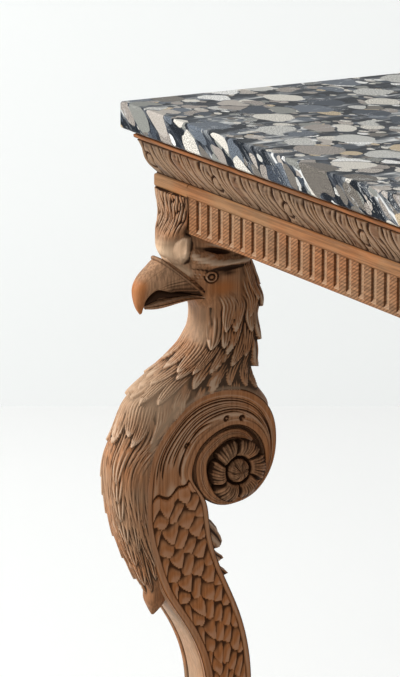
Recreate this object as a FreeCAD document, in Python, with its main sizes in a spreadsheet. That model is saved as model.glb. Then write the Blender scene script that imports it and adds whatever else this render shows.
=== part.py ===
import FreeCAD, Part
import math
import os
import re
import Sketcher
from FreeCAD import Placement, Rotation, Vector

# Pier table with two eagle legs. X runs to the right seen from the front, Y to the back, Z up.
# The front faces -Y, the floor is at zero, and the box of the whole is centred on the origin.

# Driving sizes in millimetres: alias, number, what it is.
SIZES = (
    ("table_height", 870, "floor to the top of the stone"),
    ("top_width", 1280, "stone from left to right"),
    ("top_depth", 600, "stone from front to back"),
    ("top_thick", 30, "stone thickness"),
    ("top_arris", 2, "small bevel round the stone"),
    ("breast_reach", 55, "breast in front of the stone's front edge"),
    ("rail_setback", 31, "stone edge to the rail face at front and sides"),
    ("back_setback", 6, "stone edge to the back plane of the frame"),
    ("rail_thick", 26, "thickness of all rails"),
    ("cornice_height", 48.5, "carved cornice"),
    ("cornice_reach", 21, "cornice top in front of the rail face"),
    ("cornice_fillet", 10, "plain strip at the cornice top"),
    ("band_height", 15, "rounded band under the cornice"),
    ("band_reach", 3, "band in front of the rail face"),
    ("band_seat", 5, "band let into the rail"),
    ("frieze_height", 40, "fluted part of the rail"),
    ("flute_pitch", 24, "from flute to flute"),
    ("flute_width", 10.4, "width of a flute"),
    ("flute_depth", 3, "depth of a flute"),
    ("flute_foot", 3.6, "plain strip under the flutes"),
    ("flute_slope", 4, "height of the sloped end of a flute"),
    ("stile_width", 72, "leg top block from side to side"),
    ("stile_depth", 77, "leg top block from front to back"),
    ("crest_notch", 6, "block cut back behind the crest"),
    ("crest_side", 1.5, "crest narrower than the block on each side"),
    ("tenon_length", 30, "rail tenons"),
    ("tenon_thick", 10, "rail tenons"),
    ("tenon_height", 70, "rail tenons"),
    ("tenon_inset", 12, "rail face to tenon"),
    ("joint_gap", 0.2, "clearance in joints"),
    ("seat_gap", 0.3, "clearance where two curved faces meet"),
    ("overcut", 1, "how far a cutting shape passes the face that it cuts"),
    ("peg_diameter", 8, "pegs through the tenons"),
    ("peg_step", 18, "pegs above or below the middle of a rail"),
    ("peg_end", 5, "wood left in front of a peg"),
    ("rear_width", 56, "rear leg at the rails"),
    ("rear_depth", 50, "rear leg at the rails"),
    ("rear_foot_width", 44, "rear leg at its foot"),
    ("rear_foot_depth", 40, "rear leg at its foot"),
    ("neck_ring_drop", 20, "rail bottom to the ring on a rear leg"),
    ("neck_ring_height", 9, "ring on a rear leg"),
    ("neck_ring_reach", 3.5, "ring in front of a rear leg's face"),
    ("bearer_width", 40, "cross bearers under the stone"),
    ("bearer_height", 45, "cross bearers under the stone"),
    ("bearer_place", 215, "bearer from the middle of the table"),
    ("bearer_seat", 8, "bearer ends let into the rails"),
    ("block_long", 46, "corner block along the rail"),
    ("block_short", 23, "corner block along the leg"),
    ("block_height", 70, "corner block"),
    ("block_drop", 22, "corner block below the rail top"),
    ("block_screw_place", 15, "screw from the square corner of its block"),
    ("screw_diameter", 5, "wood screws"),
    ("screw_head", 9, "head of a wood screw"),
    ("screw_head_rise", 3, "height of a screw head"),
    ("screw_bite", 15, "screw in the second piece"),
    ("cornice_bite", 9, "cornice screw in the cornice"),
    ("cornice_screw_drop", 9, "cornice screw below the rail top"),
    ("cornice_screw_step", 300, "from screw to screw along a rail"),
    ("plinth_height", 42, "blocks under the legs"),
    ("plinth_width", 80, "front plinth from side to side"),
    ("plinth_front", 56, "front plinth in front of the band plane"),
    ("plinth_back", 64, "front plinth behind the band plane"),
    ("plinth_arris", 5, "bevel on a plinth top"),
    ("rear_plinth_side", 9, "rear plinth beyond the leg's foot"),
    ("leg_width", 56, "scroll leg from cheek to cheek"),
    ("foot_height", 101.2, "scroll leg's foot with its roll, up from the plinth"),
    ("scroll_height", 151.8, "scroll at the head of a scroll leg, from its foot to its top"),
    ("scroll_depth", 167, "scroll leg from knee to volute back"),
    ("scroll_front", 50, "knee in front of the band plane"),
    ("border_width", 10, "plain border of the cheeks"),
    ("field_depth", 3, "sunk fields of the cheeks"),
    ("volute_rise", 63.8, "scroll's foot to the middle of the upper rosette"),
    ("volute_back", 64, "upper rosette behind the band plane"),
    ("rosette_radius", 40, "upper rosette"),
    ("rosette_ball", 16, "ball of the upper rosette"),
    ("foot_rise", 46, "plinth top to the middle of the foot rosette"),
    ("foot_front", 3, "foot rosette in front of the band plane"),
    ("foot_rosette_radius", 26, "foot rosette"),
    ("foot_rosette_ball", 11, "ball of the foot rosette"),
    ("ring_width", 6, "raised ring round a rosette"),
    ("dish_depth", 6, "dish that holds a rosette"),
    ("petal_count", 12, "petals of a rosette"),
    ("neck_height", 84, "scroll's top to the joint of head and neck"),
    ("head_height", 104.5, "joint of head and neck to the rail's foot"),
    ("breast_height", 340, "joint of head and neck to the pendant tip"),
    ("neck_width", 64, "neck from side to side"),
    ("neck_back", 105, "nape behind the band plane"),
    ("beak_reach", 50, "beak in front of the band plane"),
    ("beak_height", 44, "root of the beak"),
    ("brow_width", 68, "brow from side to side"),
    ("eye_diameter", 15, "eye"),
    ("leaf_width", 34, "leaf spray on the back of a shank"),
    ("leaf_reach", 15, "leaf spray behind the shank"),
    ("dowel_diameter", 16, "dowels in the legs"),
    ("dowel_length", 56, "dowels in the legs"),
    ("breast_dowel_rise", 40.8, "scroll's foot to the dowel of the breast"),
)

# Derived places, written as sums of the driving sizes.
FRONT_EDGE = "(breast_reach / 2 - top_depth / 2)"
BACK_EDGE = "(breast_reach / 2 + top_depth / 2)"
BACK_PLANE = "(%s - back_setback)" % BACK_EDGE
RAIL_FACE = "(%s + rail_setback)" % FRONT_EDGE
RAIL_BACK = "(%s + rail_thick)" % RAIL_FACE
SIDE_FACE = "(top_width / 2 - rail_setback)"
STILE_BACK = "(%s + stile_depth)" % RAIL_FACE
STILE_INSIDE = "(%s - stile_width)" % SIDE_FACE
REAR_FRONT = "(%s - rear_depth)" % BACK_PLANE
REAR_INSIDE = "(%s - rear_width)" % SIDE_FACE
RAIL_TOP = "(table_height - top_thick)"
CORNICE_FOOT = "(%s - cornice_height)" % RAIL_TOP
BAND_FOOT = "(%s - band_height)" % CORNICE_FOOT
RAIL_FOOT = "(%s - frieze_height)" % BAND_FOOT
RAIL_MIDDLE = "((%s + %s) / 2)" % (RAIL_TOP, RAIL_FOOT)
BAND_PLANE = "(%s - band_reach)" % RAIL_FACE
LEG_PLACE = "(%s - stile_width / 2)" % SIDE_FACE
LAND = "(flute_pitch - flute_width)"
BREAST_FRONT = "(breast_reach + rail_setback - band_reach)"
NECK_JOINT = "(%s - head_height)" % RAIL_FOOT
SCROLL_TOP = "(%s - neck_height)" % NECK_JOINT
SCROLL_FOOT = "(%s - scroll_height)" % SCROLL_TOP
VOLUTE_MIDDLE = "(%s + volute_rise)" % SCROLL_FOOT
BREAST_DOWEL = "(%s + breast_dowel_rise)" % SCROLL_FOOT
FOOT_TOP = "(plinth_height + foot_height)"
FOOT_MIDDLE = "(plinth_height + foot_rise)"
SIDE_MIDDLE = "((%s + %s) / 2)" % (STILE_BACK, REAR_FRONT)
SCREW_LEVEL = "(%s - cornice_screw_drop)" % RAIL_TOP
SCREW_HOLE = "(screw_diameter + joint_gap)"
BLOCK_LEVEL = "(%s - block_drop - block_height / 2)" % RAIL_TOP

# Scroll leg outline: shares of its depth (from the knee back) and of its height (up from the plinth).
# The foot and the scroll at the head keep their own heights, and the shank takes up the rest.
FOOT_TOP_SHARE = .2
SCROLL_FOOT_SHARE = .7
FRONT_SHARES = ((.461, .156), (.485, .243), (.485, .322), (.449, .403), (.341, .476), (.180, .553),
                (.072, .640), (.009, .737), (.018, .812), (.072, .887), (.192, .941), (.359, .984),
                (.569, 1.0), (.808, .980), (.952, .933), (1.0, .875), (.958, .814), (.856, .765),
                (.689, .742), (.473, .755))
BACK_SHARES = ((.473, .755), (.491, .708), (.545, .632), (.635, .555), (.725, .482), (.784, .407),
               (.814, .324), (.805, .243), (.754, .158), (.671, .079), (.575, 0))
FOOT_SHARES = ((.240, 0), (.084, .024), (.015, .083), (.072, .142), (.240, .176), (.383, .170), (.461, .156))
FIELD_FRONT_SHARES = FRONT_SHARES[1:8]
FIELD_BACK_SHARES = BACK_SHARES[1:8]
STRAND_SHARES = ((.006, .771),) + FRONT_SHARES[8:16]
BORDER_SLOPE_SHARE = 1.12
# Rosette section from its rim in: shares of its radius and of the depth of its dish.
PETAL_SHARES = ((1.0, .9), (.82, 1.45), (.58, .95))
BALL_SEAT_SHARE = .8
SLIT_INSIDE_SHARE = .6
SLIT_TOP_SHARE = 2
SLIT_DEEP_SHARE = 1.35
COLLAR_ROUND_SHARE = .8

# Breast sections: shares of its height, of its front reach, of the nape's reach back and of the neck's width.
BREAST_SHARES = ((1.0, -.289, .98, .906), (.941, -.18, 1.0, .94), (.876, .10, .98, .97),
                 (.806, .47, .925, 1.0), (.744, .70, .95, 1.0), (.671, .84, .57, 1.0),
                 (.582, .97, .19, .985), (.5, 1.0, -.05, .97), (.406, .965, -.14, .94),
                 (.303, .855, -.10, .875), (.2, .70, 0, .78), (.097, .495, .10, .62), (0, .35, .10, .31))
# Head sections: shares of its height, of the beak's reach, of the nape's reach back and of the neck's width.
HEAD_SHARES = ((0, -.48, .98, .906), (.153, -.44, 1.01, .938), (.306, -.12, .99, .969),
               (.478, .04, .943, .984), (.65, .24, .876, .969), (.823, .26, .838, .875),
               (1.0, .04, .80, .75))
# Upper beak: shares of its reach and of the head's height, turn in degrees, half sizes as shares of its root.
BEAK_SHARES = ((-.24, .478, 0, .49, .47), (.16, .507, 5, .48, .45), (.48, .498, 25, .42, .37),
               (.73, .392, 55, .33, .27), (.83, .287, 80, .195, .18), (.80, .187, 100, .11, .10),
               (.77, .124, 105, .04, .036))
# Lower beak: shares of the reach and of the head's height, half width and half height as shares of the root.
JAW_SHARES = ((-.64, .182, .45, .14), (0, .196, .32, .075), (.40, .194, .21, .068), (.66, .197, .08, .034))
# Crest in side view: shares of the beak's reach and of the frieze height above the rail's lower edge.
CREST_SHARES = ((0, 1.0), (-.05, .75), (-.07, .5), (-.01, .15), (.10, -.2), (.22, -.42))
BROW_SHARES = (-.76, .69, .68, .064)
EYE_SHARES = (-.72, .493, .86)
# Leaf spray in side view: shares of the scroll's depth and height, and of the spray's reach behind the shank.
LEAF_SHARES = ((.491, .712, .15), (.53, .668, .75), (.575, .607, 1.0), (.592, .612, .35), (.625, .552, 1.05),
               (.648, .56, .35), (.70, .49, 1.0), (.705, .50, 0))

doc = FreeCAD.newDocument("pier_table")
sheet = doc.addObject("Spreadsheet::Sheet", "sizes")
for row, (alias, number, words) in enumerate(SIZES, 1):
    sheet.set("A%d" % row, words)
    sheet.set("B%d" % row, str(number))
    sheet.setAlias("B%d" % row, alias)
doc.recompute()
ALIASES = {alias for alias, number, words in SIZES}
nodes = []


def bound(text):
    """Turn the short names of a sum into cells of the sheet."""
    def word(found):
        return "sizes." + found.group() if found.group() in ALIASES else found.group()
    return re.sub(r"[a-z_]+", word, str(text))


def size(text):
    """Number that a sum of driving sizes comes to."""
    return float(sheet.evalExpression(bound(text)))


def bind(thing, **sums):
    for name, text in sums.items():
        thing.setExpression(name.replace("__", "."), bound(text))


def place(thing, x=0, y=0, z=0):
    bind(thing, Placement__Base__x=x, Placement__Base__y=y, Placement__Base__z=z)


def keep(thing, label):
    """Name a finished sub-part."""
    thing.Label = label
    nodes.append(thing)
    return thing


def new_body(label):
    return keep(doc.addObject("PartDesign::Body", label), label)


def origin_part(body, role):
    return next(part for part in body.Origin.OriginFeatures if part.Role == role)


def new_sketch(body, name, role, offset=0):
    """Sketch on a plane of the body's origin, moved along that plane's normal."""
    sketch = body.newObject("Sketcher::SketchObject", name)
    sketch.AttachmentSupport = (origin_part(body, role), [""])
    sketch.MapMode = "FlatFace"
    bind(sketch, AttachmentOffset__Base__z=offset)
    return sketch


def add_polygon(sketch, corners):
    """Closed outline whose corners are bound to sums of the driving sizes."""
    points = [Vector(size(a), size(b), 0) for a, b in corners]
    count = len(points)
    for i in range(count):
        sketch.addGeometry(Part.LineSegment(points[i], points[(i + 1) % count]), False)
    for i in range(count):
        sketch.addConstraint(Sketcher.Constraint("Coincident", i, 2, (i + 1) % count, 1))
    for i, corner in enumerate(corners):
        for kind, text, seed in zip(("DistanceX", "DistanceY"), corner, points[i]):
            k = sketch.addConstraint(Sketcher.Constraint(kind, -1, 1, i, 1, seed))
            sketch.setExpression("Constraints[%d]" % k, bound(text))
    return sketch


def add_circle(sketch, a, b, diameter):
    """Circle whose middle and diameter are bound to the driving sizes."""
    middle = Vector(size(a), size(b), 0)
    sketch.addGeometry(Part.Circle(middle, Vector(0, 0, 1), size(diameter) / 2), False)
    for kind, text, seed in (("DistanceX", a, middle.x), ("DistanceY", b, middle.y)):
        k = sketch.addConstraint(Sketcher.Constraint(kind, -1, 1, 0, 3, seed))
        sketch.setExpression("Constraints[%d]" % k, bound(text))
    k = sketch.addConstraint(Sketcher.Constraint("Diameter", 0, size(diameter)))
    sketch.setExpression("Constraints[%d]" % k, bound(diameter))
    return sketch


def add_path(sketch, *pieces):
    """Closed outline from straight pieces (two points) and smooth curves (more points)."""
    for points in pieces:
        if len(points) == 2:
            sketch.addGeometry(Part.LineSegment(points[0], points[1]), False)
        else:
            curve = Part.BSplineCurve()
            curve.interpolate(points)
            sketch.addGeometry(curve, False)
    return sketch


def add_feature(body, kind, name, sketch, length, midplane=False, backward=False):
    feature = body.newObject("PartDesign::" + kind, name)
    feature.Profile = sketch
    bind(feature, Length=length)
    feature.Midplane = midplane
    feature.Reversed = backward
    sketch.Visibility = False
    doc.recompute()
    return feature


def cut_feature(body, name, sketch, length, midplane=False, backward=False):
    before = body.Shape.Volume
    feature = add_feature(body, "Pocket", name, sketch, length, midplane, backward)
    if body.Shape.Volume >= before:
        raise RuntimeError("%s of %s removes nothing" % (name, body.Label))
    return feature


def rectangle(x0, x1, y0, y1):
    return ((x0, y0), (x1, y0), (x1, y1), (x0, y1))


def add_block(body, name, x, y, z):
    """Upright block between pairs of bounds."""
    sketch = add_polygon(new_sketch(body, name + "_plan", "XY_Plane", z[0]), rectangle(*x, *y))
    return add_feature(body, "Pad", name, sketch, "(%s) - (%s)" % (z[1], z[0]))


def cut_block(body, name, x, y, z):
    sketch = add_polygon(new_sketch(body, name + "_plan", "XY_Plane", z[1]), rectangle(*x, *y))
    return cut_feature(body, name, sketch, "(%s) - (%s)" % (z[1], z[0]))


def cut_round(body, name, axis, at, start, length, diameter):
    """Round hole that starts at a plane and runs along the named axis."""
    role, sign, backward = {"+Y": ("XZ_Plane", "-", False), "-Y": ("XZ_Plane", "-", True),
                            "-X": ("YZ_Plane", "", False), "+X": ("YZ_Plane", "", True),
                            "-Z": ("XY_Plane", "", False), "+Z": ("XY_Plane", "", True)}[axis]
    sketch = new_sketch(body, name + "_ring", role, "%s(%s)" % (sign, start))
    add_circle(sketch, at[0], at[1], diameter)
    return cut_feature(body, name, sketch, length, False, backward)


def add_row(body, name, cut, role, length, count):
    """Repeat a cut along an axis of the body."""
    row = body.newObject("PartDesign::LinearPattern", name)
    row.Originals = [cut]
    row.Direction = (origin_part(body, role), [""])
    bind(row, Length=length, Occurrences=count)
    body.Tip = row
    doc.recompute()
    return row


def dress(body, kind, name, base, amount, wanted):
    """Fillet or chamfer the edges that a test picks out."""
    feature = body.newObject("PartDesign::" + kind, name)
    edges = base.Shape.Edges
    feature.Base = (base, ["Edge%d" % (i + 1) for i, edge in enumerate(edges) if wanted(edge)])
    bind(feature, **{"Radius" if kind == "Fillet" else "Size": amount})
    body.Tip = feature
    doc.recompute()
    return feature


def ordered(side, inner, outer):
    """Pair of X bounds from low to high for the left (-1) or right (1) side."""
    return ("-(%s)" % outer, "-(%s)" % inner) if side < 0 else (inner, outer)


def on_side(side, text):
    return "%d * (%s)" % (side, text)


def rod(name, diameter, length, turn, x, y, z):
    """Round bar from a point along the axis that the turn gives."""
    bar = doc.addObject("Part::Cylinder", name)
    bind(bar, Radius="(%s) / 2" % diameter, Height=length)
    bar.Placement = Placement(Vector(0, 0, 0), turn)
    place(bar, x, y, z)
    return bar


UPRIGHT = Rotation(Vector(0, 0, 1), 0)
BACKWARD = Rotation(Vector(1, 0, 0), -90)
FORWARD = Rotation(Vector(1, 0, 0), 90)
RIGHTWARD = Rotation(Vector(0, 1, 0), 90)
LEFTWARD = Rotation(Vector(0, 1, 0), -90)
SIDES = (("left", -1), ("right", 1))


def make_top():
    body = new_body("stone_top")
    half = "top_width / 2"
    slab = add_block(body, "slab", ("-" + half, half), (FRONT_EDGE, BACK_EDGE), (RAIL_TOP, "table_height"))
    dress(body, "Chamfer", "arris", slab, "top_arris", lambda edge: True)


def cut_bearer_seats(body, y):
    for name, side in SIDES:
        x = ("%d * bearer_place - bearer_width / 2" % side, "%d * bearer_place + bearer_width / 2" % side)
        cut_block(body, name + "_bearer_seat", x, y, (RAIL_TOP + " - bearer_height", RAIL_TOP))


def tenon_z(gap="0"):
    """Foot and top of a tenon, or of its mortise with the given gap."""
    half = "(tenon_height / 2 + %s)" % gap
    return RAIL_MIDDLE + " - " + half, RAIL_MIDDLE + " + " + half


def screw_places(middle, length):
    """Places of the cornice screws along a rail: a step apart, as many as it takes, even about its middle."""
    count = int(size(length) / size("cornice_screw_step")) + 1
    return ["%s + (%s) * cornice_screw_step" % (middle, i - (count - 1) / 2) for i in range(count)]


def front_screw_places():
    return screw_places("0", "2 * " + STILE_INSIDE)


def side_screw_places():
    return screw_places(SIDE_MIDDLE, "%s - %s" % (REAR_FRONT, STILE_BACK))


def make_front_rail():
    body = new_body("front_rail")
    half = STILE_INSIDE
    add_block(body, "board", ("-" + half, half), (RAIL_FACE, RAIL_BACK), (RAIL_FOOT, RAIL_TOP))
    tenon_y = (RAIL_FACE + " + tenon_inset", RAIL_FACE + " + tenon_inset + tenon_thick")
    for name, side in SIDES:
        add_block(body, name + "_tenon", ordered(side, half, half + " + tenon_length"), tenon_y, tenon_z())
    cut_block(body, "band_groove", ("-" + half, half), (RAIL_FACE, RAIL_FACE + " + band_seat"),
              (BAND_FOOT, CORNICE_FOOT))
    cut_bearer_seats(body, (RAIL_BACK + " - bearer_seat", RAIL_BACK))
    for i, x in enumerate(front_screw_places()):
        cut_round(body, "cornice_hole_%d" % i, "+Y", (x, SCREW_LEVEL), RAIL_FACE, "rail_thick", SCREW_HOLE)
    for name, side in SIDES:
        cut_round(body, name + "_block_pilot", "-Y",
                  (on_side(side, half + " - block_screw_place"), BLOCK_LEVEL),
                  RAIL_BACK, "screw_bite + joint_gap", SCREW_HOLE)
    count = "floor((2 * %s - %s) / flute_pitch)" % (half, LAND)
    length = "(%s - 1) * flute_pitch" % count
    face = new_sketch(body, "flute_side", "YZ_Plane", "-(%s) / 2" % length)
    low = RAIL_FOOT + " + flute_foot"
    add_polygon(face, ((RAIL_FACE, low), (RAIL_FACE + " + flute_depth", low + " + flute_slope"),
                       (RAIL_FACE + " + flute_depth", BAND_FOOT), (RAIL_FACE, BAND_FOOT)))
    flute = cut_feature(body, "flute", face, "flute_width", midplane=True)
    add_row(body, "flutes", flute, "X_Axis", length, count)


def make_side_rail(word, side):
    body = new_body(word + "_rail")
    inner = SIDE_FACE + " - rail_thick"
    add_block(body, "board", ordered(side, inner, SIDE_FACE), (STILE_BACK, REAR_FRONT), (RAIL_FOOT, RAIL_TOP))
    tenon_x = ordered(side, SIDE_FACE + " - tenon_inset - tenon_thick", SIDE_FACE + " - tenon_inset")
    add_block(body, "front_tenon", tenon_x, (STILE_BACK + " - tenon_length", STILE_BACK), tenon_z())
    add_block(body, "back_tenon", tenon_x, (REAR_FRONT, REAR_FRONT + " + tenon_length"), tenon_z())
    cut_block(body, "band_groove", ordered(side, SIDE_FACE + " - band_seat", SIDE_FACE),
              (STILE_BACK, REAR_FRONT), (BAND_FOOT, CORNICE_FOOT))
    inward = "-X" if side > 0 else "+X"
    for i, y in enumerate(side_screw_places()):
        cut_round(body, "cornice_hole_%d" % i, inward, (y, SCREW_LEVEL), on_side(side, SIDE_FACE),
                  "rail_thick", SCREW_HOLE)
    count = "floor((%s - %s - %s) / flute_pitch)" % (REAR_FRONT, STILE_BACK, LAND)
    length = "(%s - 1) * flute_pitch" % count
    face = new_sketch(body, "flute_side", "XZ_Plane", "-(%s - (%s) / 2)" % (SIDE_MIDDLE, length))
    low = RAIL_FOOT + " + flute_foot"
    deep = on_side(side, SIDE_FACE + " - flute_depth")
    add_polygon(face, ((on_side(side, SIDE_FACE), low), (deep, low + " + flute_slope"), (deep, BAND_FOOT),
                       (on_side(side, SIDE_FACE), BAND_FOOT)))
    flute = cut_feature(body, "flute", face, "flute_width", midplane=True)
    add_row(body, "flutes", flute, "Y_Axis", length, count)


def make_back_rail():
    body = new_body("back_rail")
    half = REAR_INSIDE
    face = BACK_PLANE + " - rail_thick"
    add_block(body, "board", ("-" + half, half), (face, BACK_PLANE), (RAIL_FOOT, RAIL_TOP))
    tenon_y = (BACK_PLANE + " - tenon_inset - tenon_thick", BACK_PLANE + " - tenon_inset")
    for name, side in SIDES:
        add_block(body, name + "_tenon", ordered(side, half, half + " + tenon_length"), tenon_y, tenon_z())
    cut_bearer_seats(body, (face, face + " + bearer_seat"))
    for name, side in SIDES:
        cut_round(body, name + "_block_pilot", "+Y",
                  (on_side(side, half + " - block_screw_place"), BLOCK_LEVEL),
                  face, "screw_bite + joint_gap", SCREW_HOLE)


def cornice_points(flip):
    """Cornice section: plain strip, then a hollow that turns into a round."""
    face = size(flip[0])
    way = flip[1]
    top = size(RAIL_TOP)
    foot = size(CORNICE_FOOT)
    reach = size("cornice_reach")
    low = size("band_reach")
    lip = size(RAIL_TOP + " - cornice_fillet")
    curve_shares = ((.88, 1.0), (.60, .80), (.45, .58), (.38, .34), (.20, .10), (0, 0))
    curve = [Vector(face + way * (low + (reach - low) * out), foot + (lip - foot) * up, 0)
             for out, up in curve_shares]
    back_top = Vector(face, top, 0)
    back_foot = Vector(face, foot, 0)
    nose = Vector(face + way * reach, top, 0)
    nose_low = Vector(face + way * reach, lip, 0)
    return ((back_top, nose), (nose, nose_low), (nose_low, curve[0]), curve, (curve[-1], back_foot),
            (back_foot, back_top))


def make_front_cornice():
    body = new_body("front_cornice")
    section = add_path(new_sketch(body, "section", "YZ_Plane"), *cornice_points((RAIL_FACE, -1)))
    add_feature(body, "Pad", "moulding", section, "2 * (%s + cornice_reach)" % SIDE_FACE, midplane=True)
    far = SIDE_FACE + " + cornice_reach + overcut"
    for name, side in SIDES:
        plan = new_sketch(body, name + "_mitre_plan", "XY_Plane", RAIL_TOP)
        add_polygon(plan, ((on_side(side, SIDE_FACE), RAIL_FACE), (on_side(side, far), RAIL_FACE),
                           (on_side(side, far), RAIL_FACE + " - cornice_reach - overcut")))
        cut_feature(body, name + "_mitre", plan, "cornice_height")
    for i, x in enumerate(front_screw_places()):
        cut_round(body, "pilot_%d" % i, "-Y", (x, SCREW_LEVEL), RAIL_FACE,
                  "cornice_bite + joint_gap", SCREW_HOLE)


def make_side_cornice(word, side):
    body = new_body(word + "_cornice")
    section = new_sketch(body, "section", "XZ_Plane", "-" + BACK_PLANE)
    add_path(section, *cornice_points((on_side(side, SIDE_FACE), side)))
    add_feature(body, "Pad", "moulding", section, "%s - %s + cornice_reach" % (BACK_PLANE, RAIL_FACE))
    far = SIDE_FACE + " + cornice_reach + overcut"
    plan = new_sketch(body, "mitre_plan", "XY_Plane", RAIL_TOP)
    outer = RAIL_FACE + " - cornice_reach - overcut"
    add_polygon(plan, ((on_side(side, SIDE_FACE), RAIL_FACE), (on_side(side, SIDE_FACE), outer),
                       (on_side(side, far), outer)))
    cut_feature(body, "mitre", plan, "cornice_height")
    outward = "+X" if side > 0 else "-X"
    for i, y in enumerate(side_screw_places()):
        cut_round(body, "pilot_%d" % i, outward, (y, SCREW_LEVEL), on_side(side, SIDE_FACE),
                  "cornice_bite + joint_gap", SCREW_HOLE)


def band_points(face, way):
    """Band section: square back in the groove, rounded front."""
    foot = size(BAND_FOOT)
    top = size(CORNICE_FOOT + " - joint_gap")
    back = size(face) - way * size("band_seat")
    front_shares = ((0, 0), (.72, .12), (1.0, .5), (.72, .88), (0, 1.0))
    front = [Vector(size(face) + way * size("band_reach") * out, foot + (top - foot) * up, 0)
             for out, up in front_shares]
    low = Vector(back, foot, 0)
    high = Vector(back, top, 0)
    return ((low, front[0]), front, (front[-1], high), (high, low))


def make_bands():
    body = new_body("front_band")
    section = add_path(new_sketch(body, "section", "YZ_Plane"), *band_points(RAIL_FACE, -1))
    add_feature(body, "Pad", "strip", section, "2 * " + STILE_INSIDE, midplane=True)
    for word, side in SIDES:
        body = new_body(word + "_band")
        section = new_sketch(body, "section", "XZ_Plane", "-" + REAR_FRONT)
        add_path(section, *band_points(on_side(side, SIDE_FACE), side))
        add_feature(body, "Pad", "strip", section, "%s - %s" % (REAR_FRONT, STILE_BACK))


def round_collar(body, base, faces):
    """Ease the long edges of a collar that stands in front of the named planes."""
    def wanted(edge):
        box = edge.BoundBox
        level = box.ZLength < size("joint_gap")
        return level and any(abs(getattr(box, low) - at) + abs(getattr(box, high) - at) < size("joint_gap")
                             for low, high, at in faces)
    return dress(body, "Fillet", "collar_round", base, "band_reach * %s" % COLLAR_ROUND_SHARE, wanted)


def make_stile(word, side):
    body = new_body(word + "_stile")
    x = ordered(side, STILE_INSIDE, SIDE_FACE)
    add_block(body, "post", x, (RAIL_FACE, STILE_BACK), (RAIL_FOOT, RAIL_TOP))
    collar_x = ordered(side, STILE_INSIDE, SIDE_FACE + " + band_reach")
    collar = add_block(body, "collar", collar_x, (BAND_PLANE, STILE_BACK), (BAND_FOOT, CORNICE_FOOT))
    round_collar(body, collar, (("YMin", "YMax", size(BAND_PLANE)),
                                ("XMin", "XMax", size(on_side(side, SIDE_FACE + " + band_reach")))))
    cut_block(body, "crest_seat", x, (RAIL_FACE, RAIL_FACE + " + crest_notch"), (RAIL_FOOT, BAND_FOOT))
    gap = "joint_gap"
    cut_block(body, "front_mortise",
              ordered(side, STILE_INSIDE, STILE_INSIDE + " + tenon_length + joint_gap"),
              (RAIL_FACE + " + tenon_inset - joint_gap",
               RAIL_FACE + " + tenon_inset + tenon_thick + joint_gap"), tenon_z(gap))
    cut_block(body, "side_mortise",
              ordered(side, SIDE_FACE + " - tenon_inset - tenon_thick - joint_gap",
                      SIDE_FACE + " - tenon_inset + joint_gap"),
              (STILE_BACK + " - tenon_length - joint_gap", STILE_BACK), tenon_z(gap))
    cut_round(body, "head_dowel_hole", "+Z",
              (on_side(side, LEG_PLACE), RAIL_FACE + " + stile_depth / 2"), RAIL_FOOT,
              "dowel_length / 2 + joint_gap", "dowel_diameter + joint_gap")
    return body


def make_rear_leg(word, side):
    body = new_body(word + "_rear_leg")
    x = ordered(side, REAR_INSIDE, SIDE_FACE)
    y = (REAR_FRONT, BACK_PLANE)
    add_block(body, "post", x, y, (RAIL_FOOT, RAIL_TOP))
    middle = "(%s - rear_width / 2)" % SIDE_FACE
    high = add_polygon(new_sketch(body, "taper_top", "XY_Plane", RAIL_FOOT), rectangle(*x, *y))
    foot_x = ordered(side, middle + " - rear_foot_width / 2", middle + " + rear_foot_width / 2")
    foot_y = (BACK_PLANE + " - rear_foot_depth", BACK_PLANE)
    low = new_sketch(body, "taper_foot", "XY_Plane", "plinth_height")
    add_polygon(low, rectangle(*foot_x, *foot_y))
    taper = body.newObject("PartDesign::AdditiveLoft", "taper")
    taper.Profile = high
    taper.Sections = [low]
    doc.recompute()
    ring_top = RAIL_FOOT + " - neck_ring_drop"
    ring_x = ordered(side, REAR_INSIDE + " - neck_ring_reach", SIDE_FACE + " + neck_ring_reach")
    ring = add_block(body, "neck_ring", ring_x, (REAR_FRONT + " - neck_ring_reach", BACK_PLANE),
                     (ring_top + " - neck_ring_height", ring_top))
    collar_x = ordered(side, REAR_INSIDE, SIDE_FACE + " + band_reach")
    collar = add_block(body, "collar", collar_x, y, (BAND_FOOT, CORNICE_FOOT))
    round_collar(body, collar, (("XMin", "XMax", size(on_side(side, SIDE_FACE + " + band_reach"))),
                                ("YMin", "YMax", size(REAR_FRONT + " - neck_ring_reach"))))
    gap = "joint_gap"
    cut_block(body, "back_mortise", ordered(side, REAR_INSIDE, REAR_INSIDE + " + tenon_length + joint_gap"),
              (BACK_PLANE + " - tenon_inset - tenon_thick - joint_gap",
               BACK_PLANE + " - tenon_inset + joint_gap"), tenon_z(gap))
    cut_block(body, "side_mortise",
              ordered(side, SIDE_FACE + " - tenon_inset - tenon_thick - joint_gap",
                      SIDE_FACE + " - tenon_inset + joint_gap"),
              (REAR_FRONT, REAR_FRONT + " + tenon_length + joint_gap"), tenon_z(gap))
    cut_round(body, "foot_dowel_hole", "+Z", (on_side(side, middle), BACK_PLANE + " - rear_foot_depth / 2"),
              "plinth_height", "dowel_length / 2 + joint_gap", "dowel_diameter + joint_gap")
    return body


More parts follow.
